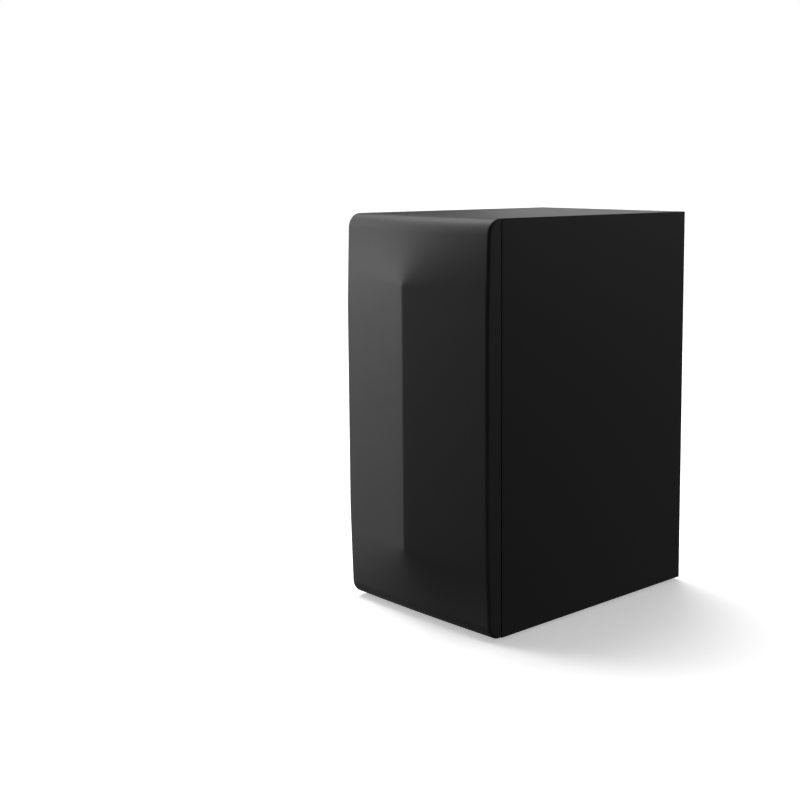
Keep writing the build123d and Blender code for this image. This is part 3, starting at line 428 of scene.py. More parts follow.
def offset(outline: Outline, distance: float) -> Outline:
    """Moves an outline's sides inwards by a distance, or outwards by a negative one."""
    count = len(outline)
    area = sum(outline[i - 1][0] * outline[i][1] - outline[i][0] * outline[i - 1][1]
               for i in range(count))
    sign = 1 if area > 0 else -1
    moved: Outline = []
    for i in range(count):
        before = Vector(outline[i]) - Vector(outline[i - 1])
        after = Vector(outline[(i + 1) % count]) - Vector(outline[i])
        first = Vector((-before.y, before.x)).normalized() * sign
        second = Vector((-after.y, after.x)).normalized() * sign
        inward = (first + second) / max(1 + first.dot(second), 0.2)
        spot = Vector(outline[i]) + inward * distance
        moved.append((spot.x, spot.y))
    return moved


# ---------------------------------------------------------------- mesh making
class Shell:
    """Points and faces of one piece, gathered ring by ring. Points are given in millimetres."""

    def __init__(self) -> None:
        """Starts empty."""
        self.points: list[Vector] = []
        self.follow: list[float] = []
        self.faces: list[tuple[int, ...]] = []

    def ring(self, points: Iterable[Sequence[float]], follow: float = 0.0) -> list[int]:
        """Adds points and returns their numbers; follow is how far a rule of shape moves them."""
        start = len(self.points)
        self.points.extend(Vector(p) * MM for p in points)
        self.follow.extend([follow] * (len(self.points) - start))
        return list(range(start, len(self.points)))

    def skin(self, first: Sequence[int], second: Sequence[int], closed: bool = True) -> None:
        """Joins two rings with faces; a ring of one point is a tip."""
        count = max(len(first), len(second))
        for i in range(count if closed else count - 1):
            j = (i + 1) % count
            face = [first[i % len(first)], first[j % len(first)], second[j % len(second)],
                    second[i % len(second)]]
            self.faces.append(tuple(dict.fromkeys(face)))

    def loft(self, rings: Sequence[Sequence[int]], closed: bool = True) -> None:
        """Joins a row of rings, each to the next."""
        for first, second in zip(rings, rings[1:]):
            self.skin(first, second, closed)

    def cap(self, outer: Sequence[int], holes: Sequence[Sequence[int]] = ()) -> None:
        """Fills a flat ring, round any holes in it."""
        loops = [outer, *holes]
        flat = [n for loop in loops for n in loop]
        for face in tessellate_polygon([[self.points[n] for n in loop] for loop in loops]):
            self.faces.append(tuple(flat[n] for n in face))

    def build(self, name: str, smooth: float = 40.0) -> bpy.types.Object:
        """Makes the mesh object.

        Args:
            name: the piece's name.
            smooth: the angle in degrees past which an edge stays sharp.

        Returns:
            The object, at the origin.
        """
        mesh = bpy.data.meshes.new(name)
        mesh.from_pydata([tuple(p) for p in self.points], [], self.faces)
        mesh.attributes.new("follow", "FLOAT", "POINT").data.foreach_set("value", self.follow)
        tidy(mesh, smooth)
        return link(name, mesh)


def shade(mesh: bpy.types.Mesh, smooth: float) -> None:
    """Shades a mesh smooth, up to edges sharper than an angle in degrees."""
    mesh.shade_smooth()
    mesh.set_sharp_from_angle(angle=math.radians(smooth))


def tidy(mesh: bpy.types.Mesh, smooth: float) -> None:
    """Merges a mesh's doubles, points its faces outwards and shades it."""
    work = bmesh.new()
    work.from_mesh(mesh)
    bmesh.ops.remove_doubles(work, verts=work.verts, dist=2e-6)
    bmesh.ops.dissolve_degenerate(work, edges=work.edges, dist=1e-7)
    bmesh.ops.recalc_face_normals(work, faces=work.faces)
    work.to_mesh(mesh)
    work.free()
    shade(mesh, smooth)


def link(name: str, data: bpy.types.ID) -> bpy.types.Object:
    """Puts a mesh, a lamp or a camera in the scene as an object at the origin."""
    made = bpy.data.objects.new(name, data)
    bpy.context.scene.collection.objects.link(made)
    return made


def aimed(data: bpy.types.ID, place: Sequence[float], towards: Vector) -> bpy.types.Object:
    """Puts a lamp or a camera in the scene at a place in metres, pointing one way."""
    made = link(data.name, data)
    made.location = place
    made.rotation_mode = "QUATERNION"
    made.rotation_quaternion = towards.to_track_quat("-Z", "Y")
    return made


def settled(piece: bpy.types.Object) -> bpy.types.Object:
    """Turns a piece and its modifiers into one plain mesh."""
    bpy.context.view_layer.update()
    graph = bpy.context.evaluated_depsgraph_get()
    mesh = bpy.data.meshes.new_from_object(piece.evaluated_get(graph), depsgraph=graph)
    old = piece.data
    piece.modifiers.clear()
    piece.data = mesh
    bpy.data.meshes.remove(old)
    mesh.name = piece.name
    return piece


def joined(name: str, pieces: Sequence[bpy.types.Object]) -> bpy.types.Object:
    """Joins several mesh pieces into one and names it."""
    work = bmesh.new()
    for piece in pieces:
        work.from_mesh(piece.data)
    mesh = bpy.data.meshes.new(name)
    work.to_mesh(mesh)
    work.free()
    shade(mesh, 40)
    for piece in pieces:
        bpy.data.objects.remove(piece)
    return link(name, mesh)


def turned(name: str, place: Place, profile: Outline, steps: int = 96, closed: bool = False,
           smooth: float = 40.0) -> bpy.types.Object:
    """Turns a profile about the middle of a place.

    Args:
        name: the piece's name.
        place: the place whose middle and facing give the axis.
        profile: points of radius and height.
        steps: how many runs a full turn has.
        closed: whether the profile is a ring's section, whose last point joins the first.
        smooth: the angle in degrees past which an edge stays sharp.

    Returns:
        The object.
    """
    shell = Shell()
    rings = [shell.ring([place.turned(radius, 2 * math.pi * i / steps, height)
                         for i in range(1 if radius < 1e-6 else steps)])
             for radius, height in profile]
    for i in range(len(rings) if closed else len(rings) - 1):
        first, second = rings[i], rings[(i + 1) % len(rings)]
        if len(first) > 1 or len(second) > 1:
            shell.skin(first, second)
    return shell.build(name, smooth)


def slab(name: str, place: Place, outer: Outline, holes: Sequence[Outline], low: float, high: float,
         edge: float = 0.3) -> bpy.types.Object:
    """Makes a flat plate with holes, whose edges on its high side are rounded.

    Args:
        name: the piece's name.
        place: the place that the outlines are drawn on.
        outer: the outside outline.
        holes: the outlines of its openings.
        low: the height of its back.
        high: the height of its face.
        edge: the radius of the rounded edges.

    Returns:
        The object.
    """
    shell = Shell()
    steps = 3
    rims = [(0.0, low), (0.0, high - edge)]
    rims += [(edge * (1 - math.cos(a)), high - edge * (1 - math.sin(a)))
             for a in (math.pi / 2 * k / steps for k in range(1, steps + 1))]
    rims.append((edge * 1.8, high))
    ends: list[tuple[list[int], list[int]]] = []
    for number, outline in enumerate([outer, *holes]):
        sign = 1 if number == 0 else -1
        rings = [shell.ring([place.at(x, y, height) for x, y in offset(outline, sign * inset)])
                 for inset, height in rims]
        shell.loft(rings)
        ends.append((rings[0], rings[-1]))
    for side in (0, 1):
        shell.cap(ends[0][side], [end[side] for end in ends[1:]])
    return shell.build(name)


def copied(name: str, node: str, smooth: float = 35.0) -> bpy.types.Object:
    """Copies a CAD node's mesh with its doubles merged, as the start of a finer piece."""
    mesh = frame["nodes"][node].data.copy()
    mesh.name = name
    tidy(mesh, smooth)
    return link(name, mesh)


def softened(name: str, node: str, edge: float) -> bpy.types.Object:
    """Copies a CAD node and rounds its edges.

    Args:
        name: the new piece's name.
        node: the CAD node.
        edge: the width of the rounding in millimetres.

    Returns:
        The object.
    """
    piece = copied(name, node)
    work = bmesh.new()
    work.from_mesh(piece.data)
    bmesh.ops.dissolve_limit(work, angle_limit=math.radians(1), verts=work.verts, edges=work.edges)
    work.to_mesh(piece.data)
    work.free()
    bevel = piece.modifiers.new("edges", "BEVEL")
    bevel.width = edge * MM
    bevel.segments = 2
    bevel.limit_method = "ANGLE"
    bevel.angle_limit = math.radians(40)
    bevel.use_clamp_overlap = True
    settled(piece)
    shade(piece.data, 50)
    return piece


def keep(piece: bpy.types.Object, body: str, slot: str, *nodes: str) -> bpy.types.Object:
    """Dresses a finished piece, ties it to its body and hides the CAD nodes that it stands for."""
    PALETTE.dress(piece, slot)
    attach(piece, body)
    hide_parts(*nodes)
    LOG.info("%s: %d faces, on %s", piece.name, len(piece.data.polygons), body)
    return piece


# ---------------------------------------------------------------- Geometry Nodes
def new_tree(name: str, inputs: Inputs) -> tuple[bpy.types.NodeTree, Any, dict[str, str]]:
    """Starts a Geometry Nodes tree.

    Args:
        name: the tree's name.
        inputs: each input's name, socket type and value.

    Returns:
        The tree, the outputs of its input node, and each input's identifier by name.
    """
    tree = bpy.data.node_groups.new(name, "GeometryNodeTree")
    tree.interface.new_socket("Geometry", in_out="INPUT", socket_type="NodeSocketGeometry")
    tree.interface.new_socket("Geometry", in_out="OUTPUT", socket_type="NodeSocketGeometry")
    known: dict[str, str] = {}
    for label, kind, value in inputs:
        socket = tree.interface.new_socket(label, in_out="INPUT", socket_type=kind)
        known[label] = socket.identifier
        if kind != "NodeSocketMaterial":
            socket.default_value = value
    return tree, add_node(tree, "NodeGroupInput").outputs, known


def close_tree(tree: bpy.types.NodeTree, geometry: bpy.types.NodeSocket,
               material: bpy.types.NodeSocket) -> None:
    """Ends a tree with Realize Instances, Set Material and its output."""
    real = add_node(tree, "GeometryNodeRealizeInstances", {0: geometry})
    finished = add_node(tree, "GeometryNodeSetMaterial", {"Geometry": real.outputs[0],
                                                          "Material": material})
    add_node(tree, "NodeGroupOutput", {0: finished.outputs[0]})


def grown(piece: bpy.types.Object, tree: bpy.types.NodeTree, known: dict[str, str],
          inputs: Inputs) -> bpy.types.Object:
    """Runs a tree on a piece with its inputs set by identifier, and keeps the result as its mesh."""
    modifier = piece.modifiers.new(tree.name, "NODES")
    modifier.node_group = tree
    for label, _, value in inputs:
        modifier[known[label]] = value
    return settled(piece)


class Layout(Enum):
    """How a repeated piece is laid out."""

    RING = "on a circle"
    GRID = "in rows and columns"


@dataclass(frozen=True)
class Spread:
    """A Geometry Nodes pattern that repeats one small piece, each turned by its own amount."""

    layout: Layout
    count: tuple[int, int]
    size: tuple[float, float]
    seed: int

    def apply(self, piece: bpy.types.Object, place: Place, slot: str) -> bpy.types.Object:
        """Repeats a piece and moves the pattern to its place.

        Args:
            piece: the one piece, modelled at the origin and facing +Z.
            place: where the pattern's middle goes and which way it faces.
            slot: the finish.

        Returns:
            The same object, holding the whole pattern.
        """
        inputs = [("Count X", "NodeSocketInt", self.count[0]),
                  ("Count Y", "NodeSocketInt", self.count[1]),
                  ("Size X", "NodeSocketFloat", self.size[0] * MM),
                  ("Size Y", "NodeSocketFloat", self.size[1] * MM),
                  ("Seed", "NodeSocketInt", self.seed),
                  ("Finish", "NodeSocketMaterial", PALETTE.of(slot))]
        tree, given, known = new_tree(f"{piece.name}_pattern", inputs)
        if self.layout is Layout.RING:
            spots = add_node(tree, "GeometryNodeMeshCircle", {
                "Vertices": given["Count X"], "Radius": given["Size X"]}).outputs[0]
            turn = add_node(tree, "ShaderNodeCombineXYZ", {
                2: add_node(tree, "ShaderNodeMath", {0: math.pi, 1: given["Count X"]},
                            operation="DIVIDE").outputs[0]}).outputs[0]
            spots = add_node(tree, "GeometryNodeTransform", {
                "Geometry": spots, "Rotation": turn}).outputs[0]
        else:
            spots = add_node(tree, "GeometryNodeMeshGrid", {
                "Size X": given["Size X"], "Size Y": given["Size Y"],
                "Vertices X": given["Count X"], "Vertices Y": given["Count Y"]}).outputs[0]
        loose = add_node(tree, "FunctionNodeRandomValue", {
            2: 0.0, 3: 2 * math.pi, "Seed": given["Seed"]}, data_type="FLOAT").outputs[1]
        angle = add_node(tree, "ShaderNodeCombineXYZ", {2: loose}).outputs[0]
        copies = add_node(tree, "GeometryNodeInstanceOnPoints", {
            "Points": spots, "Instance": given["Geometry"], "Rotation": angle})
        close_tree(tree, copies.outputs[0], given["Finish"])
        grown(piece, tree, known, inputs)
        piece.data.transform(place.matrix())
        return piece


@dataclass(frozen=True)
class CoverRule:
    """The rule of the front cover's shape, as a Geometry Nodes tree.

    Two slanted facets meet in an upright ridge. Past its ends the ridge fans out and fades, and
    towards the top and the bottom the cover's edges lean back.
    """

    ridge_depth: float
    blank_depth: float
    edge_depth: float
    half_width: float
    ridge_ends: tuple[float, float]
    cover_ends: tuple[float, float]
    fan_rate: float = 1.15
    crease: float = 1.0
    end_lean: float = 2.4
    lean_length: float = 78.0
    fade_length: float = 57.0
    end_fade: float = 0.8

    def apply(self, piece: bpy.types.Object, slot: str) -> None:
        """Bulges a flat cover by the rule, as far as each point follows it.

        Args:
            piece: the flat cover, with the attribute follow.
            slot: the finish.
        """
        lengths = {"Ridge Depth": self.ridge_depth, "Blank Depth": self.blank_depth,
                   "Edge Depth": self.edge_depth, "Half Width": self.half_width,
                   "Ridge Top": self.ridge_ends[1], "Ridge Bottom": self.ridge_ends[0],
                   "Cover Top": self.cover_ends[1], "Cover Bottom": self.cover_ends[0],
                   "Crease": self.crease, "End Lean": self.end_lean,
                   "Lean Length": self.lean_length, "Fade Length": self.fade_length}
        values = {label: length * MM for label, length in lengths.items()}
        values |= {"Fan Rate": self.fan_rate, "End Fade": self.end_fade}
        inputs = [(label, "NodeSocketFloat", value) for label, value in values.items()]
        inputs.append(("Finish", "NodeSocketMaterial", PALETTE.of(slot)))
        tree, given, known = new_tree("ridged_cover", inputs)
        spot = add_node(tree, "ShaderNodeSeparateXYZ", {
            0: add_node(tree, "GeometryNodeInputPosition").outputs[0]}).outputs
        follow = add_node(tree, "GeometryNodeInputNamedAttribute", {"Name": "follow"},
                          data_type="FLOAT").outputs[0]
        values = {"x": spot[0], "z": spot[2], "follow": follow,
                  **{label: given[label] for label, _, _ in inputs}}
        steps = (
            ("over", "SUBTRACT", "z", "Ridge Top"),
            ("under", "SUBTRACT", "Ridge Bottom", "z"),
            ("beyond", "MAXIMUM", "over", "under"),
            ("past", "SMOOTH_MAX", "beyond", 0.0, 0.003),
            ("fan", "MULTIPLY_ADD", "past", "Fan Rate", "Crease"),
            ("top gap", "SUBTRACT", "Cover Top", "z"),
            ("bottom gap", "SUBTRACT", "z", "Cover Bottom"),
            ("near gap", "MINIMUM", "top gap", "bottom gap"),
            ("gap", "DIVIDE", "near gap", "Lean Length"),
            ("inside", "SUBTRACT", 1.0, "gap"),
            ("rise", "SMOOTH_MAX", "inside", 0.0, 0.15),
            ("lean", "MULTIPLY", "rise", "End Lean"),
            ("edge", "SUBTRACT", "Edge Depth", "lean"),
            ("height", "SUBTRACT", "Ridge Depth", "edge"),
            ("slope", "DIVIDE", "height", "Half Width"),
            ("fan squared", "MULTIPLY", "fan", "fan"),
            ("side squared", "MULTIPLY_ADD", "Half Width", "Half Width", "fan squared"),
            ("here squared", "MULTIPLY_ADD", "x", "x", "fan squared"),
            ("side root", "SQRT", "side squared"),
            ("here root", "SQRT", "here squared"),
            ("roots", "SUBTRACT", "side root", "here root"),
            ("way", "DIVIDE", "past", "Fade Length"),
            ("way kept", "MINIMUM", "way", 1.0),
            ("way bent", "POWER", "way kept", 1.5),
            ("faded", "MULTIPLY", "way bent", "End Fade"),
            ("strength", "SUBTRACT", 1.0, "faded"),
            ("full crown", "MULTIPLY", "slope", "roots"),
            ("crown", "MULTIPLY", "full crown", "strength"),
            ("depth", "ADD", "edge", "crown"),
            ("bulge", "SUBTRACT", "depth", "Blank Depth"),
            ("share", "MULTIPLY", "bulge", "follow"),
            ("push", "MULTIPLY", "share", -1.0),
        )
        for label, operation, *sources in steps:
            sockets = {i: values[s] if isinstance(s, str) else s for i, s in enumerate(sources)}
            values[label] = add_node(tree, "ShaderNodeMath", sockets, operation=operation).outputs[0]
        moved = add_node(tree, "GeometryNodeSetPosition", {
            "Geometry": given["Geometry"],
            "Offset": add_node(tree, "ShaderNodeCombineXYZ", {1: values["push"]}).outputs[0]})
        close_tree(tree, moved.outputs[0], given["Finish"])
        grown(piece, tree, known, inputs)


# ---------------------------------------------------------------- cabinet
def rolled(radius: float, depth: float) -> float:
    """How far a rounded edge stands out at a depth under its face, from its tangent at the face."""
    return radius - math.sqrt(max(radius ** 2 - (radius - depth) ** 2, 0.0)) if depth < radius else 0.0


@dataclass
class Cabinet:
    """The box: four foil-wrapped boards mitred at the corners, a rear board and four feet."""

    wall: float = 10.0
    wrap_round: float = 0.6
    end_round: float = 0.35
    opening_round: float = 0.8
    mitre_start: float = 0.293
    flat_border: float = 0.6
    port_hole: float = 32.1
    plate_hole: tuple[float, float] = (92.0, 112.0)
    screw_hole: float = 1.7
    screw_x: float = 52.0
    screw_z: float = 62.0

    def board(self, name: str, place: Place, length: float, width: float,
              opening: Triple | None = None) -> bpy.types.Object:
        """Makes one mitred board, whose face is rounded where the foil folds over its edges.

        Args:
            name: the piece's name.
            place: the middle of its outer face, with x along the cabinet's depth.
            length: its length along x.
            width: its width at the outer face.
            opening: the x, y and radius of a round opening.

        Returns:
            The object.
        """
        shell = Shell()
        mitre = self.wrap_round * self.mitre_start
        depths = [0.0, 0.0, 0.02, 0.06, 0.12, mitre, self.end_round, 1.0, self.wall]
        outer, inner = [], []
        for number, depth in enumerate(depths):
            side = max(rolled(self.wrap_round, depth), 0) if depth < mitre else depth
            tip = rolled(self.end_round, depth)
            more = self.flat_border if number == 0 else 0.0
            outer.append(shell.ring([
                place.at(sx * (length / 2 - tip - more), sy * (width / 2 - side - more), -depth)
                for sx, sy in ((-1, -1), (1, -1), (1, 1), (-1, 1))]))
            if opening:
                x, y, radius = opening
                lip = circle(radius + rolled(self.opening_round, depth) + more, 160, x, y)
                inner.append(shell.ring([place.at(*spot, -depth) for spot in lip]))
        for rings in (outer, inner) if opening else (outer,):
            shell.loft(rings)
        for number in (0, -1):
            shell.cap(outer[number], [inner[number]] if opening else [])
        return keep(shell.build(f"{name}_wrapped", 50), "cabinet", "cabinet_foil", name)

    def build(self) -> None:
        """Builds the boards, the rear board and the feet."""
        low, high = corners("right_side_panel")
        _, top = corners("top_panel")
        left, _ = corners("left_side_panel")
        middle_y, middle_z = (low.y + high.y) / 2, (low.z + top.z) / 2
        depth, height, width = high.y - low.y, top.z - low.z, high.x - left.x
        cloth_low, cloth_high = corners("grille_cloth")
        radius = (cloth_high.y - cloth_low.y) / 2 + 0.5
        centre_y, centre_z = (cloth_low.y + cloth_high.y) / 2, (cloth_low.z + cloth_high.z) / 2
        opening = (centre_y - middle_y, middle_z - centre_z, radius)
        for name, x, z, up, across, hole in (
                ("right_side_panel", high.x, middle_z, (0, 0, 1), height, None),
                ("top_panel", 0, top.z, (-1, 0, 0), width, None),
                ("bottom_panel", 0, low.z, (1, 0, 0), width, None),
                ("left_side_panel", left.x, middle_z, (0, 0, -1), height, opening)):
            self.board(name, Place((x, middle_y, z), (0, 1, 0), up), depth, across, hole)
        self.rear(high.y)
        for side in ("front_left", "front_right", "rear_left", "rear_right"):
            self.foot(side)

    def rear(self, rear_y: float) -> None:
        """Builds the rear board, with its openings for the port and the amplifier."""
        low, high = corners("rear_board")
        middle_z = (low.z + high.z) / 2
        place = Place((0, 0, middle_z), (-1, 0, 0), (0, 0, 1))
        port_low, port_high = corners("port_tube")
        plate_low, plate_high = corners("amp_plate")
        port_z = (port_low.z + port_high.z) / 2 - middle_z
        plate_z = (plate_low.z + plate_high.z) / 2 - middle_z
        holes = [circle(self.port_hole, 96, 0, port_z), box_outline(*self.plate_hole, 0, 0, plate_z)]
        holes += [circle(self.screw_hole, 16, x, plate_z + z) for x in (-self.screw_x, self.screw_x)
                  for z in (-self.screw_z, 0, self.screw_z)]
        keep(slab("rear_board_wrapped", place, box_outline(high.x - low.x, high.z - low.z), holes,
                  low.y, rear_y, 0.35), "cabinet", "cabinet_foil", "rear_board")

    def foot(self, side: str) -> None:
        """Turns one rubber foot with a ring groove under it."""
        low, high = corners(f"foot_{side}")
        place = Place(((low.x + high.x) / 2, (low.y + high.y) / 2, 0), (1, 0, 0), (0, 1, 0))
        radius = (high.x - low.x) / 2
        profile = rounded([(0, 0.5), (2.4, 0.5), (2.9, 0, 0.2), (5.6, 0, 0.2), (5.9, 0.45, 0.15),
                           (6.3, 0.45, 0.15), (6.6, 0, 0.2), (radius, 0, 0.7), (radius, high.z, 0.3),
                           (0, high.z)], 4, closed=False)
        keep(turned(f"foot_{side}_moulded", place, profile, 48), "cabinet", "foot_rubber",
             f"foot_{side}")


# ---------------------------------------------------------------- front cover
@dataclass
class FrontCover:
    """The ridged cover moulded in ABS, with the pegs and ribs of its hidden side."""

    wall: float = 4.0
    side_round: float = 2.2
    end_height: float = 12.0
    end_depth: float = 10.8
    blank_depth: float = 14.0
    rim_depth: float = 0.9
    peg_x: float = 60.0
    peg_z: float = 125.0
    peg_radius: float = 3.5
    boss_radius: float = 6.0
    boss_depth: float = 1.3
    rib: float = 2.0
    ridge_low_gap: float = 59.8
    ridge_high_gap: float = 54.6
    edge_depth: float = 15.6

    def ridge_ends(self) -> tuple[float, float]:
        """The heights where the ridge starts and ends."""
        low, high = corners("front_panel")
        return low.z + self.ridge_low_gap, high.z - self.ridge_high_gap

    def rows(self) -> list[tuple[float, float]]:
        """The heights of the front's rows: the end of the straight part and the way round the end."""
        low, high = corners("front_panel")
        top, bottom = high.z - self.end_height, low.z + self.end_height
        fine = self.ridge_ends()
        spots: list[float] = []
        z = bottom
        while z < top - 0.3:
            spots.append(z)
            z += 1.0 if min(abs(z - end) for end in fine) < 9 else 2.6
        spots.append(top)
        turns = [math.pi / 2 * k / 10 for k in range(10, 0, -1)]
        rows = [(bottom, -a) for a in turns] + [(s, 0.0) for s in spots]
        return rows + [(top, a) for a in reversed(turns)]

    def column(self, shell: Shell, x: float, inset: float, seam_y: float,
               push: float = 0.0) -> list[int]:
        """Adds one column of the flat cover from its bottom rim to its top rim.

        Args:
            shell: what gathers the points.
            x: the column's x.
            inset: how far it lies under the outer face.
            seam_y: the y of the cabinet's front edges.
            push: how far the column is set back along its own face.

        Returns:
            The points' numbers.
        """
        low, high = corners("front_panel")
        numbers = shell.ring([(x, seam_y - self.rim_depth, low.z + inset)])
        for z, a in self.rows():
            y = (seam_y - self.blank_depth + inset + push
                 + (self.end_depth - inset) * (1 - math.cos(a)))
            numbers += shell.ring([(x, y, z + (self.end_height - inset) * math.sin(a))], follow=1.0)
        return numbers + shell.ring([(x, seam_y - self.rim_depth, high.z - inset)])

    def build(self) -> None:
        """Builds the flat cover with its hidden ribs and pegs, and bulges it by the rule."""
        low, high = corners("front_panel")
        seam_y = corners("right_side_panel")[0].y
        half = high.x
        flats = [0.0, 0.35, 0.75, 1.2, 1.8, 2.6, 3.6, 5, 7, 9.5, 13, 17, 22, 28, 34, 40, 46, 52, 58,
                 64, 70, 75, 79, 82, half - self.side_round]
        flats = [-f for f in reversed(flats[1:])] + flats
        turns = [math.pi / 2 * k / 6 for k in range(1, 7)]
        outer = [(-(half - self.side_round + self.side_round * math.sin(a)),
                  self.side_round * (1 - math.cos(a))) for a in reversed(turns)]
        outer += [(x, 0.0) for x in flats]
        outer += [(half - self.side_round + self.side_round * math.sin(a),
                   self.side_round * (1 - math.cos(a))) for a in turns]
        shell = Shell()
        sides = []
        for inside in (False, True):
            columns = []
            for x, inset in outer:
                if inside:
                    columns.append(self.column(shell, x * (half - self.wall) / half, self.wall, seam_y))
                else:
                    columns.append(self.column(shell, x, inset, seam_y))
            for end in (0, -1):
                x, inset = outer[end] if not inside else (
                    math.copysign(half - self.wall, outer[end][0]), self.wall)
                support = self.column(shell, x, inset, seam_y, push=0.5)
                rim = shell.ring([(x, seam_y - self.rim_depth, shell.points[n].z / MM)
                                  for n in support])
                columns = [rim, support, *columns] if end == 0 else [*columns, support, rim]
            shell.loft(columns, closed=False)
            sides.append(columns)
        edges = [[*[c[0] for c in columns], *columns[-1][1:], *[c[-1] for c in reversed(columns[:-1])],
                  *reversed(columns[0][1:-1])] for columns in sides]
        shell.skin(edges[0], edges[1])
        self.hidden_side(shell, seam_y, (low.z + high.z) / 2, half)
        piece = shell.build("front_panel_moulded", 50)
        rule = CoverRule(seam_y - low.y, self.blank_depth, self.edge_depth, half,
                         self.ridge_ends(), (low.z, high.z))
        rule.apply(piece, "cover_abs")
        shade(piece.data, 50)
        keep(piece, "cabinet", "cover_abs", "front_panel")

    def hidden_side(self, shell: Shell, seam_y: float, middle_z: float, half: float) -> None:
        """Adds the bosses with their pegs and the ribs behind the cover."""
        front = seam_y - self.blank_depth + self.wall / 2
        back = seam_y - self.boss_depth
        for x in (-self.peg_x, self.peg_x):
            for z in (-self.peg_z, 0.0, self.peg_z):
                rings = []
                for radius, y, follow in ((0, front, 1), (self.boss_radius, front, 1),
                                          (self.boss_radius, back, 0), (self.peg_radius + 0.4, back, 0),
                                          (self.peg_radius, back + 0.4, 0),
                                          (self.peg_radius, back + 8.2, 0),
                                          (self.peg_radius - 0.8, back + 9, 0), (0, back + 9, 0)):
                    rings.append(shell.ring([(x + u, y, middle_z + z + v) for u, v in (
                        circle(radius, 28) if radius else [(0.0, 0.0)])], float(follow)))
                shell.loft(rings)
        reach = half - self.wall / 2
        for z in (-self.peg_z, 0.0, self.peg_z):
            spots = [-reach + 2 * reach * i / 40 for i in range(41)]
            self.rib_of(shell, [(x, middle_z + z) for x in spots], (0, 1), front, back)
        spots = [middle_z - 150 + 300 * i / 60 for i in range(61)]
        self.rib_of(shell, [(0.0, z) for z in spots], (1, 0), front, back)

    def rib_of(self, shell: Shell, line: Outline, side: tuple[int, int], front: float,
               back: float) -> None:
        """Adds one rib along a line of x and z, thick to the given side."""
        rings = []
        for x, z in line:
            face = [(x + s * side[0] * self.rib / 2, y, z + s * side[1] * self.rib / 2)
                    for s, y in ((-1, back), (1, back), (1, front), (-1, front))]
            rings.append(shell.ring(face[:2]) + shell.ring(face[2:], 1.0))
        shell.loft(rings)
        for ring in (rings[0], rings[-1]):
            shell.faces.append(tuple(ring))


# ---------------------------------------------------------------- studio
@dataclass(frozen=True)
class Softbox:
    """A square studio lamp: where it stands, its size, its power in watts and what it points at."""

    name: str
    place: Triple
    size: float
    power: float
    aim: Triple = (0.0, 0.0, 0.17)

    def build(self) -> None:
        """Builds the lamp."""
        data = bpy.data.lights.new(self.name, "AREA")
        data.size = self.size
        data.energy = self.power
        aimed(data, self.place, Vector(self.aim) - Vector(self.place))


@dataclass(frozen=True)
class BroadLamp:
    """A far lamp behind a wide diffuser: where its light comes from, its spread and its strength."""

    name: str
    comes_from: Triple
    spread: float
    strength: float

    def build(self) -> None:
        """Builds the lamp."""
        data = bpy.data.lights.new(self.name, "SUN")
        data.energy = self.strength
        data.angle = math.radians(self.spread)
        aimed(data, self.comes_from, -Vector(self.comes_from))


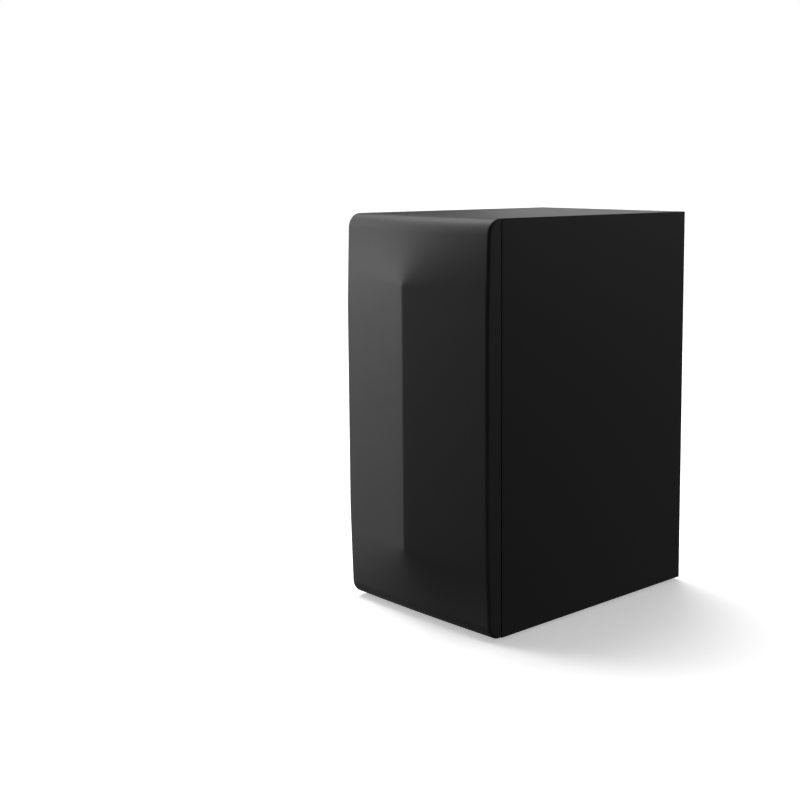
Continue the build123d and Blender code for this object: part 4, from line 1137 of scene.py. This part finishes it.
@dataclass
class Studio:
    """The white table, the lamps and the camera."""

    lamps: tuple[Softbox | BroadLamp, ...] = (
        Softbox("left_high_softbox", (-1.4, -0.6, 1.3), 0.9, 6.8),
        Softbox("left_softbox", (-1.55, -0.85, 0.6), 0.9, 11.5),
        Softbox("rear_left_softbox", (-0.9, 1.6, 0.9), 1.2, 4.5),
        Softbox("front_softbox", (0.3, -1.9, 0.9), 0.9, 0.7),
        Softbox("rear_right_softbox", (1.3, 1.4, 0.9), 1.0, 5.0),
        BroadLamp("overhead_lamp", (-0.55, 0.1, 1.0), 40.0, 1.95),
        BroadLamp("ceiling_lamp", (-0.35, 0.1, 1.0), 60.0, 1.15),
    )
    table_light: tuple[float, float] = (0.36, 1.6)
    table_glow: float = 0.45
    table_reach: float = 30.0
    camera_place: Triple = (799.3, -807.6, 370.0)
    camera_yaw: float = 45.536
    camera_pitch: float = 6.924
    lens: float = 59.66
    shift: tuple[float, float] = (-0.12, -0.09)

    def build(self) -> None:
        """Builds the studio."""
        self.camera()
        self.table()
        self.room()
        for lamp in self.lamps:
            lamp.build()

    def table(self) -> None:
        """Lays a wide white table that glows a little, as one lit from below does."""
        reach = self.table_reach
        mesh = bpy.data.meshes.new("table")
        mesh.from_pydata([(-reach, -reach, 0), (reach, -reach, 0), (reach, reach, 0),
                          (-reach, reach, 0)], [], [(0, 1, 2, 3)])
        table = link("table", mesh)
        table.visible_diffuse = False
        table.visible_glossy = False
        material = bpy.data.materials.new("white_acrylic_table")
        tree = emptied(material)
        white = linear("#f7f7f7")
        shader = add_node(tree, "ShaderNodeBsdfPrincipled", {
            "Base Color": white, "Roughness": 0.6, "Specular IOR Level": 0.2,
            "Emission Color": white, "Emission Strength": self.table_glow})
        add_node(tree, "ShaderNodeOutputMaterial", {"Surface": shader.outputs[0]})
        mesh.materials.append(material)

    def room(self) -> None:
        """Makes the room: white where seen, dark above, with light off the table, most from its left."""
        world = bpy.data.worlds.new("studio")
        bpy.context.scene.world = world
        tree = emptied(world)
        seen = add_node(tree, "ShaderNodeBackground", {0: linear("#ffffff"), 1: 1.0})
        way = add_node(tree, "ShaderNodeTexCoord").outputs["Generated"]
        across, _, height = add_node(tree, "ShaderNodeSeparateXYZ", {0: way}).outputs
        under = add_node(tree, "ShaderNodeMapRange", {
            0: height, 1: 0.0, 2: -0.05}, interpolation_type="SMOOTHSTEP").outputs[0]
        table = add_node(tree, "ShaderNodeMapRange", {
            0: across, 1: -0.6, 2: -0.9, 3: self.table_light[0], 4: self.table_light[1]},
            interpolation_type="SMOOTHSTEP").outputs[0]
        near = add_node(tree, "ShaderNodeMapRange", {
            0: height, 1: -0.1, 2: -0.5, 3: 1.0, 4: 0.3}).outputs[0]
        glow = table
        for part in (under, near):
            glow = add_node(tree, "ShaderNodeMath", {0: glow, 1: part}, operation="MULTIPLY").outputs[0]
        room = add_node(tree, "ShaderNodeBackground", {0: linear("#ffffff"), 1: glow})
        path = add_node(tree, "ShaderNodeLightPath").outputs["Is Camera Ray"]
        both = add_node(tree, "ShaderNodeMixShader", {0: path, 1: room.outputs[0], 2: seen.outputs[0]})
        add_node(tree, "ShaderNodeOutputWorld", {0: both.outputs[0]})

    def camera(self) -> None:
        """Sets the camera at the front right corner, a little above the top."""
        data = bpy.data.cameras.new("camera")
        data.lens, data.sensor_width = self.lens, 36.0
        data.shift_x, data.shift_y = self.shift
        data.clip_start, data.clip_end = 0.05, 100.0
        yaw, pitch = math.radians(self.camera_yaw), math.radians(self.camera_pitch)
        look = Vector((-math.sin(yaw) * math.cos(pitch), math.cos(yaw) * math.cos(pitch),
                       -math.sin(pitch)))
        bpy.context.scene.camera = aimed(data, Vector(self.camera_place) * MM, look)


# ---------------------------------------------------------------- screws
@dataclass(frozen=True)
class Screw:
    """A pan-head screw with a cross recess and a rolled thread, modelled facing +Z."""

    head_radius: float
    head_height: float
    shank_radius: float
    length: float
    pitch: float = 1.2

    def build(self, name: str) -> bpy.types.Object:
        """Builds one screw with the underside of its head at the origin."""
        shell = Shell()
        steps, top = 28, self.head_height
        profile: Outline = [(0.0, -self.length), (self.shank_radius * 0.4, -self.length + 0.5)]
        depth = -self.length + 1.2
        while depth < -self.pitch:
            profile += [(self.shank_radius * 0.78, depth), (self.shank_radius, depth + self.pitch / 2)]
            depth += self.pitch
        profile += [(self.shank_radius, -0.4), (self.shank_radius, 0.0)]
        profile += rounded([(self.shank_radius, 0.0), (self.head_radius, 0.0, 0.12),
                            (self.head_radius, top, top * 0.55), (self.head_radius * 0.72, top)],
                           5, closed=False)[1:]
        rings = [shell.ring([(x, y, height) for x, y in (
            circle(radius, steps) if radius else [(0.0, 0.0)])]) for radius, height in profile]
        shell.loft(rings)
        arm, wide = self.head_radius * 0.58, self.head_radius * 0.13
        cross = [(wide, wide), (wide, arm), (-wide, arm), (-wide, wide), (-arm, wide), (-arm, -wide),
                 (-wide, -wide), (-wide, -arm), (wide, -arm), (wide, -wide), (arm, -wide), (arm, wide)]
        lip = shell.ring([(x, y, top) for x, y in cross])
        floor = shell.ring([(x * 0.6, y * 0.6, top * 0.35) for x, y in cross])
        shell.cap(rings[-1], [lip])
        shell.skin(lip, floor)
        shell.cap(floor)
        return shell.build(name)


# ---------------------------------------------------------------- driver and grille
DRIVER_PLACE = Place(DRIVER_CENTRE, (0.0, 1.0, 0.0), (0.0, 0.0, -1.0))


def stretched(piece: bpy.types.Object, slot: str, fixed: float, moving: float, *nodes: str) -> None:
    """Dresses a soft ring of the driver that lies between the basket and the moving cone, fixes its
    place in its mesh and hides its CAD nodes.

    Args:
        piece: the finished mesh.
        slot: the finish.
        fixed: the radius from which it would stay with the cabinet; not used.
        moving: the radius at which it would follow the cone wholly; not used.
        nodes: the CAD nodes that it stands for.
    """
    PALETTE.dress(piece, slot)
    DRIVER_PLACE.at(fixed, 0) * MM
    DRIVER_PLACE.at(moving, 0) * MM
    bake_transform(piece)
    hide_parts(*nodes)
    LOG.info("%s: %d faces, bends with the cone", piece.name, len(piece.data.polygons))


@dataclass
class Driver:
    """The driver: basket, roll surround, paper cone, dust cap, spider and screws."""

    cone_rim: tuple[float, float] = (61.5, -3.4)
    cone_neck: tuple[float, float] = (16.55, -23.5)
    cone_thickness: float = 0.9
    beads: tuple[float, ...] = (30.0, 38.0, 46.0)
    bead_height: float = 0.5
    cap_radius: float = 23.0
    cap_rise: float = 7.0
    cap_thickness: float = 0.7
    roll_centre: tuple[float, float] = (65.0, -2.2)
    roll_radius: float = 5.0
    roll_thickness: float = 0.8

    def cone_front(self, radius: float) -> float:
        """The height of the cone's front face at a radius, without its beads."""
        slope = (self.cone_rim[1] - self.cone_neck[1]) / (self.cone_rim[0] - self.cone_neck[0])
        return self.cone_rim[1] - slope * (self.cone_rim[0] - radius)

    def build(self) -> None:
        """Builds every piece of the driver that the CAD model leaves plain."""
        self.cone()
        self.dust_cap()
        self.surround()
        self.spider()
        self.gasket_ring()
        tinsel = copied("tinsel_leads_braided", "tinsel_leads")
        stretched(tinsel, "copper", 64.0, 36.0, "tinsel_leads")
        keep(softened("driver_basket_pressed", "driver_basket", 0.35), "cabinet", "basket_paint",
             "driver_basket")
        screw = Screw(3.5, 2.5, 1.95, 11.0).build("driver_screws_threaded")
        place = Place(tuple(DRIVER_PLACE.at(0, 0, -3.0)), DRIVER_PLACE.across, DRIVER_PLACE.up)
        Spread(Layout.RING, (8, 1), (78.8, 0.0), 4).apply(screw, place, "black_screw")
        keep(screw, "cabinet", "black_screw", "driver_screws")

    def cone(self) -> None:
        """Turns the paper cone with its pressed stiffening beads."""
        front: Outline = []
        radius = self.cone_neck[0]
        while radius < self.cone_rim[0] - 0.2:
            bead = max((math.exp(-((radius - b) / 0.9) ** 2) for b in self.beads), default=0.0)
            front.append((radius, self.cone_front(radius) + self.bead_height * bead))
            radius += 0.5
        front.append(self.cone_rim)
        back = [(r, h - self.cone_thickness) for r, h in reversed(front)]
        keep(turned("cone_pressed", DRIVER_PLACE, front + back, 144, closed=True, smooth=50),
             "driver_cone", "cone_paper", "cone")

    def dust_cap(self) -> None:
        """Turns the shallow dust cap with its glued rim."""
        base = self.cone_front(self.cap_radius) + 0.1
        ball = (self.cap_radius ** 2 + self.cap_rise ** 2) / (2 * self.cap_rise)
        top = base + self.cap_rise - ball
        count = 24
        radii = [self.cap_radius * i / count for i in range(count + 1)]
        outer = [(r, top + math.sqrt(ball ** 2 - r ** 2)) for r in radii]
        inner = [(r * 0.94, max(h - self.cap_thickness, base)) for r, h in reversed(outer)]
        keep(turned("dust_cap_pressed", DRIVER_PLACE, outer + inner, 96, smooth=50), "driver_cone",
             "cone_paper", "dust_cap")

    def surround(self) -> None:
        """Turns the half-roll surround with its flat lands."""
        x, h = self.roll_centre
        outer_land, inner_land = 74.5, 56.5
        inner_low = self.cone_front(inner_land) + 0.3
        arcs = []
        for radius in (self.roll_radius, self.roll_radius - self.roll_thickness):
            arcs.append([(x + radius * math.cos(a), h + radius * math.sin(a))
                         for a in (math.pi * i / 20 for i in range(21))])
        profile = [(outer_land, h - 0.8), (outer_land, h - 0.1), (outer_land - 0.1, h), (x + 5.6, h)]
        profile += arcs[0] + [(inner_land + 0.2, inner_low + 0.8), (inner_land, inner_low + 0.6),
                              (inner_land, inner_low)]
        profile += list(reversed(arcs[1])) + [(x + 4.3, h - 0.8)]
        piece = turned("surround_moulded", DRIVER_PLACE, profile, 144, closed=True, smooth=60)
        stretched(piece, "surround_rubber", 70.0, 60.0, "surround")

    def spider(self) -> None:
        """Turns the corrugated spider."""
        low, high = corners("spider")
        outer = (high.y - low.y) / 2
        inner = 16.8
        middle = -31.1
        front: Outline = []
        count = 96
        for i in range(count + 1):
            radius = inner + (outer - inner) * i / count
            share = min(max((radius - 18.5) / 2, 0.0), 1.0) * min(max((40.5 - radius) / 2, 0.0), 1.0)
            front.append((radius, middle + 1.2 * share * math.sin(2 * math.pi * (radius - 18.5) / 4.4)))
        thick = 0.3
        profile = [(r, h + thick) for r, h in front] + [(r, h - thick) for r, h in reversed(front)]
        piece = turned("spider_corrugated", DRIVER_PLACE, profile, 96, closed=True, smooth=60)
        stretched(piece, "spider_cloth", 41.0, 18.5, "spider")

    def gasket_ring(self) -> None:
        """Turns the rubber ring that covers the surround's outer land."""
        profile = rounded([(70.5, -2.2), (74.8, -2.2), (74.8, 0.3, 0.9), (70.5, 0.3, 0.9)], 4)
        keep(turned("driver_gasket_ring_moulded", DRIVER_PLACE, profile, 128, closed=True), "cabinet",
             "foot_rubber", "driver_gasket_ring")


@dataclass
class Grille:
    """The grille's knitted cloth, stretched over the frame's rim and ribs and rolled round its edge."""

    face: float = 9.7
    radius: float = 94.8
    thickness: float = 0.45
    depth: float = 4.5
    edge: float = 1.4
    dip: float = 0.3
    rings: tuple[float, ...] = (22.0, 45.0, 67.0)
    spokes: int = 12
    rim: float = 86.0

    def sag(self, radius: float, angle: float) -> float:
        """How far the cloth sinks between the ribs at a radius and an angle."""
        near = min([abs(radius - ring) - 1 for ring in self.rings] + [self.rim - radius])
        if radius > self.rings[0]:
            step = 2 * math.pi / self.spokes
            off = abs((angle + step / 2) % step - step / 2)
            near = min(near, radius * math.sin(off) - 1)
        return self.dip * (1 - math.exp(-max(near, 0.0) / 4.5))

    def build(self) -> None:
        """Builds the cloth as one thin closed sheet with threads that follow its surface."""
        shell = Shell()
        steps = 180
        radii = [0.0, 1.5, 3.5] + [5.5 + 2.0 * i for i in range(44)]
        flat = self.radius - self.edge
        outer: Outline = [(r, self.face) for r in radii if r < flat] + [
            (flat + self.edge * math.sin(a), self.face - self.edge * (1 - math.cos(a)))
            for a in (math.pi / 2 * k / 6 for k in range(7))]
        outer += [(self.radius, self.face - 3.0), (self.radius, self.face - self.depth)]
        t = self.thickness
        bend = self.edge - t
        inner: Outline = [(self.radius - t, self.face - self.depth), (self.radius - t, self.face - 3.0)]
        inner += [(flat + bend * math.sin(a), self.face - self.edge + bend * math.cos(a))
                  for a in (math.pi / 2 * k / 6 for k in range(6, -1, -1))]
        inner += [(r, self.face - t) for r in reversed(radii) if r < flat]
        rings = []
        for radius, height in outer + inner:
            count = 1 if radius < 1e-6 else steps
            rings.append(shell.ring([
                DRIVER_PLACE.turned(radius, 2 * math.pi * i / steps,
                                    height - (self.sag(radius, 2 * math.pi * i / steps)
                                              if height > self.face - 0.6 else 0.0))
                for i in range(count)]))
        shell.loft(rings)
        cloth = shell.build("grille_cloth_stretched", 60)
        self.lay_threads(cloth.data)
        keep(cloth, "grille", "grille_knit", "grille_cloth")

    def lay_threads(self, mesh: bpy.types.Mesh) -> None:
        """Gives the cloth a UV map in metres, measured along it from its middle."""
        layer = mesh.uv_layers.new(name="threads")
        for loop in mesh.loops:
            out = mesh.vertices[loop.vertex_index].co / MM - Vector(DRIVER_CENTRE)
            angle = math.atan2(out.z, out.y)
            reach = math.hypot(out.y, out.z) + max(self.face + out.x - 0.5, 0.0)
            layer.data[loop.index].uv = (reach * math.cos(angle) * MM, reach * math.sin(angle) * MM)


# ---------------------------------------------------------------- back of the cabinet
@dataclass
class Port:
    """The moulded port tube with its flared mouth."""

    bore: float = 26.0
    wall: float = 2.5
    flare: float = 8.5
    flange: float = 39.0
    flange_thickness: float = 2.5
    collar: float = 32.0

    def build(self) -> None:
        """Turns the tube in one piece."""
        low, high = corners("port_tube")
        seat = high.y - self.flange_thickness
        place = Place(((low.x + high.x) / 2, seat, (low.z + high.z) / 2), (-1, 0, 0), (0, 0, 1))
        end, tube = low.y - seat, self.bore + self.wall
        profile = rounded([(self.bore, end, 0.9), (tube, end, 0.9), (tube, -8.0),
                           (self.collar, -8.0, 0.6), (self.collar, 0.0), (self.flange, 0.0),
                           (self.flange, self.flange_thickness, 1.1),
                           (self.bore, self.flange_thickness, self.flare)], 10)
        keep(turned("port_tube_moulded", place, profile, 128, closed=True, smooth=35), "cabinet",
             "black_abs", "port_tube")


@dataclass
class AmplifierPlate:
    """The powder-painted amplifier plate with its screws, inlet, pairing button and status light."""

    width: float = 118.0
    height: float = 138.0
    corner: float = 5.0
    screw_x: float = 52.0
    screw_z: float = 62.0
    inlet_z: float = -43.0
    button: tuple[float, float] = (-22.0, 40.0)
    light: tuple[float, float] = (-8.0, 40.0)
    edge: float = 0.45

    def build(self) -> None:
        """Builds the plate and what sits in it."""
        low, high = corners("amp_plate")
        place = Place((0, 0, (low.z + high.z) / 2), (-1, 0, 0), (0, 0, 1))
        holes = [circle(1.8, 20, x, z) for x in (-self.screw_x, self.screw_x)
                 for z in (-self.screw_z, 0.0, self.screw_z)]
        holes += [box_outline(22.7, 14.2, 2, 0, self.inlet_z), circle(2.58, 32, *self.button),
                  circle(1.55, 24, *self.light)]
        plate = slab("amp_plate_blank", place, box_outline(self.width, self.height, self.corner), holes,
                     low.y, high.y, self.edge)
        collar = slab("amp_plate_collar", place, circle(5.2, 48, *self.button),
                      [circle(3.6, 48, *self.button)], high.y - 0.2, high.y + 0.45, 0.4)
        keep(joined("amp_plate_pressed", [plate, collar]), "cabinet", "amp_plate_paint", "amp_plate")
        screw = Screw(3.2, 1.6, 1.6, 11.5).build("amp_screws_threaded")
        outer = Place((0, high.y, place.origin[2]), place.across, place.up)
        Spread(Layout.GRID, (2, 3), (2 * self.screw_x, 2 * self.screw_z), 7).apply(screw, outer,
                                                                                   "black_screw")
        keep(screw, "cabinet", "black_screw", "amp_screws")
        keep(softened("power_inlet_moulded", "power_inlet", 0.35), "cabinet", "black_abs", "power_inlet")
        self.pairing_button(place, low.y)
        self.status_light(place)

    def pairing_button(self, place: Place, back: float) -> None:
        """Turns the button, with its hidden flange and stem and a shallow dish in its face."""
        low, high = corners("pair_button")
        at = Place(tuple(place.at(*self.button)), place.across, place.up)
        flange = back - 0.3
        profile = rounded([(0, low.y), (1.5, low.y), (1.5, flange - 1.2), (3.8, flange - 1.2, 0.3),
                           (3.8, flange, 0.3), (2.5, flange), (2.5, high.y, 0.55), (1.5, high.y, 0.5),
                           (0, high.y - 0.25)], 5, closed=False)
        keep(turned("pair_button_moulded", at, profile, 48, smooth=50), "pairing_button", "black_abs",
             "pair_button")

    def status_light(self, place: Place) -> None:
        """Turns the light pipe with its domed end."""
        low, high = corners("status_light")
        at = Place(tuple(place.at(*self.light)), place.across, place.up)
        profile = rounded([(0, low.y), (1.5, low.y, 0.1), (1.5, high.y - 0.1, 0.55), (0, high.y)], 6,
                          closed=False)
        keep(turned("status_light_moulded", at, profile, 32, smooth=60), "cabinet", "light_lens",
             "status_light")


# ---------------------------------------------------------------- inside
@dataclass(frozen=True)
class Toroid:
    """A wound ring choke: a ferrite ring and its copper turns, the turns made by Geometry Nodes."""

    turns: int = 22
    wire: float = 0.42
    runs: int = 16

    def winding(self, name: str, ring_radius: float, section: float, place: Place) -> bpy.types.Object:
        """Winds a wire round a ring.

        Args:
            name: the piece's name.
            ring_radius: the ring's middle radius.
            section: the radius of the wound section, out to the wire's middle.
            place: the middle of the ring.

        Returns:
            The object.
        """
        inputs = [("Points", "NodeSocketInt", self.turns * self.runs),
                  ("Turns", "NodeSocketFloat", float(self.turns)),
                  ("Ring Radius", "NodeSocketFloat", ring_radius * MM),
                  ("Section", "NodeSocketFloat", section * MM),
                  ("Wire Radius", "NodeSocketFloat", self.wire * MM),
                  ("Finish", "NodeSocketMaterial", PALETTE.of("copper"))]
        tree, given, known = new_tree(f"{name}_turns", inputs)
        line = add_node(tree, "GeometryNodeMeshLine", {"Count": given["Points"]}).outputs[0]
        index = add_node(tree, "GeometryNodeInputIndex").outputs[0]
        values = {"index": index, **{label: given[label] for label, _, _ in inputs[:-1]}}
        steps = (
            ("share", "DIVIDE", "index", "Points"),
            ("round", "MULTIPLY", "share", 2 * math.pi),
            ("wound", "MULTIPLY", "round", "Turns"),
            ("out", "COSINE", "wound"), ("over", "SINE", "wound"),
            ("reach", "MULTIPLY_ADD", "out", "Section", "Ring Radius"),
            ("cos", "COSINE", "round"), ("sin", "SINE", "round"),
            ("x", "MULTIPLY", "reach", "cos"), ("y", "MULTIPLY", "reach", "sin"),
            ("z", "MULTIPLY", "over", "Section"),
        )
        for label, operation, *sources in steps:
            sockets = {i: values[s] if isinstance(s, str) else s for i, s in enumerate(sources)}
            values[label] = add_node(tree, "ShaderNodeMath", sockets, operation=operation).outputs[0]
        spot = add_node(tree, "ShaderNodeCombineXYZ", {0: values["x"], 1: values["y"], 2: values["z"]})
        path = add_node(tree, "GeometryNodeSetPosition", {"Geometry": line, "Position": spot.outputs[0]})
        curve = add_node(tree, "GeometryNodeMeshToCurve", {0: path.outputs[0]})
        loop = add_node(tree, "GeometryNodeSetSplineCyclic", {
            "Geometry": curve.outputs[0], "Cyclic": True})
        profile = add_node(tree, "GeometryNodeCurvePrimitiveCircle", {
            "Resolution": 8, "Radius": given["Wire Radius"]})
        wire = add_node(tree, "GeometryNodeCurveToMesh", {
            "Curve": loop.outputs[0], "Profile Curve": profile.outputs[0]})
        close_tree(tree, wire.outputs[0], given["Finish"])
        piece = link(name, bpy.data.meshes.new(name))
        grown(piece, tree, known, inputs)
        piece.data.transform(place.matrix())
        return piece

    def build(self) -> None:
        """Builds both chokes in the space of the CAD model's rings."""
        low, high = corners("inductors")
        section = (high.y - low.y) / 2
        ring_radius = (high.z - low.z) / 2 - section
        reach = ring_radius + section
        cores = []
        for name, x in (("left", low.x + reach), ("right", high.x - reach)):
            place = Place((x, (low.y + high.y) / 2, (low.z + high.z) / 2), (-1, 0, 0), (0, 0, 1))
            bare = section - 2 * self.wire - 0.05
            profile = [(ring_radius + bare * math.cos(a), bare * math.sin(a))
                       for a in (2 * math.pi * i / 20 for i in range(20))]
            cores.append(turned(f"core_{name}", place, profile, 48, closed=True))
            wound = self.winding(f"choke_winding_{name}", ring_radius, section - self.wire - 0.02, place)
            wound.data.shade_smooth()
            keep(wound, "cabinet", "copper")
        keep(joined("choke_cores", cores), "cabinet", "ferrite", "inductors")


@dataclass
class Wadding:
    """The sheet of bonded polyester wadding on the inner face of the right board."""

    border: float = 4.0
    soft_edge: float = 16.0
    lumps: float = 34.0
    columns: int = 60
    rows: int = 90

    def build(self) -> None:
        """Builds the pad, thick in the middle, lumpy on its face and thin at its edges."""
        low, high = corners("damping_wadding")
        shell = Shell()
        thick = high.x - low.x
        lines = []
        for i in range(self.columns + 1):
            line = []
            for k in range(self.rows + 1):
                y = low.y + (high.y - low.y) * i / self.columns
                z = low.z + (high.z - low.z) * k / self.rows
                gap = min(y - low.y, high.y - y, z - low.z, high.z - z)
                edge = min(gap / self.soft_edge, 1.0)
                swell = math.sqrt(max(1 - (1 - edge) ** 2, 0.0))
                wave = noise.noise(Vector((y, z, 3.0)) / self.lumps)
                fuzz = noise.noise(Vector((y, z, 9.0)) / (self.lumps / 6))
                height = self.border + (thick - self.border) * swell * (0.86 + 0.12 * wave + 0.02 * fuzz)
                pull = (1 - edge) * 1.8 * noise.noise(Vector((y, z, 5.0)) / 18)
                toward = Vector(((low.y + high.y) / 2 - y, (low.z + high.z) / 2 - z)).normalized()
                shift = abs(pull)
                line.append(shell.ring([(high.x - min(height, thick), y + toward.x * shift,
                                         z + toward.y * shift)])[0])
            lines.append(line)
        shell.loft(lines, closed=False)
        rim = lines[0] + [line[-1] for line in lines[1:-1]] + list(reversed(lines[-1])) + [
            line[0] for line in reversed(lines[1:-1])]
        back = shell.ring([(high.x, shell.points[n].y / MM, shell.points[n].z / MM) for n in rim])
        shell.skin(rim, back)
        shell.cap(back)
        pad = keep(shell.build("damping_wadding_laid", 70), "cabinet", "wadding", "damping_wadding")


def dress_kept_nodes() -> None:
    """Gives every CAD node that still shows the finish of its slot in the record."""
    slots = {part["node"]: part["material_slot"] for part in frame["record"]["subparts"]}
    for name, node in frame["nodes"].items():
        node.data.materials.clear()
        node.data.materials.append(PALETTE.of(slots[name]))


def main() -> None:
    """Builds the studio and then the object, sub-assembly by sub-assembly."""
    logging.basicConfig(level=logging.INFO, format="%(message)s")
    bpy.context.scene.view_settings.view_transform = "Standard"
    Studio().build()
    dress_kept_nodes()
    for assembly in (Cabinet(), FrontCover(), Grille(), Driver(), Port(), AmplifierPlate(), Toroid(),
                     Wadding()):
        LOG.info("%s", type(assembly).__name__)
        assembly.build()


if __name__ == "__main__":
    main()
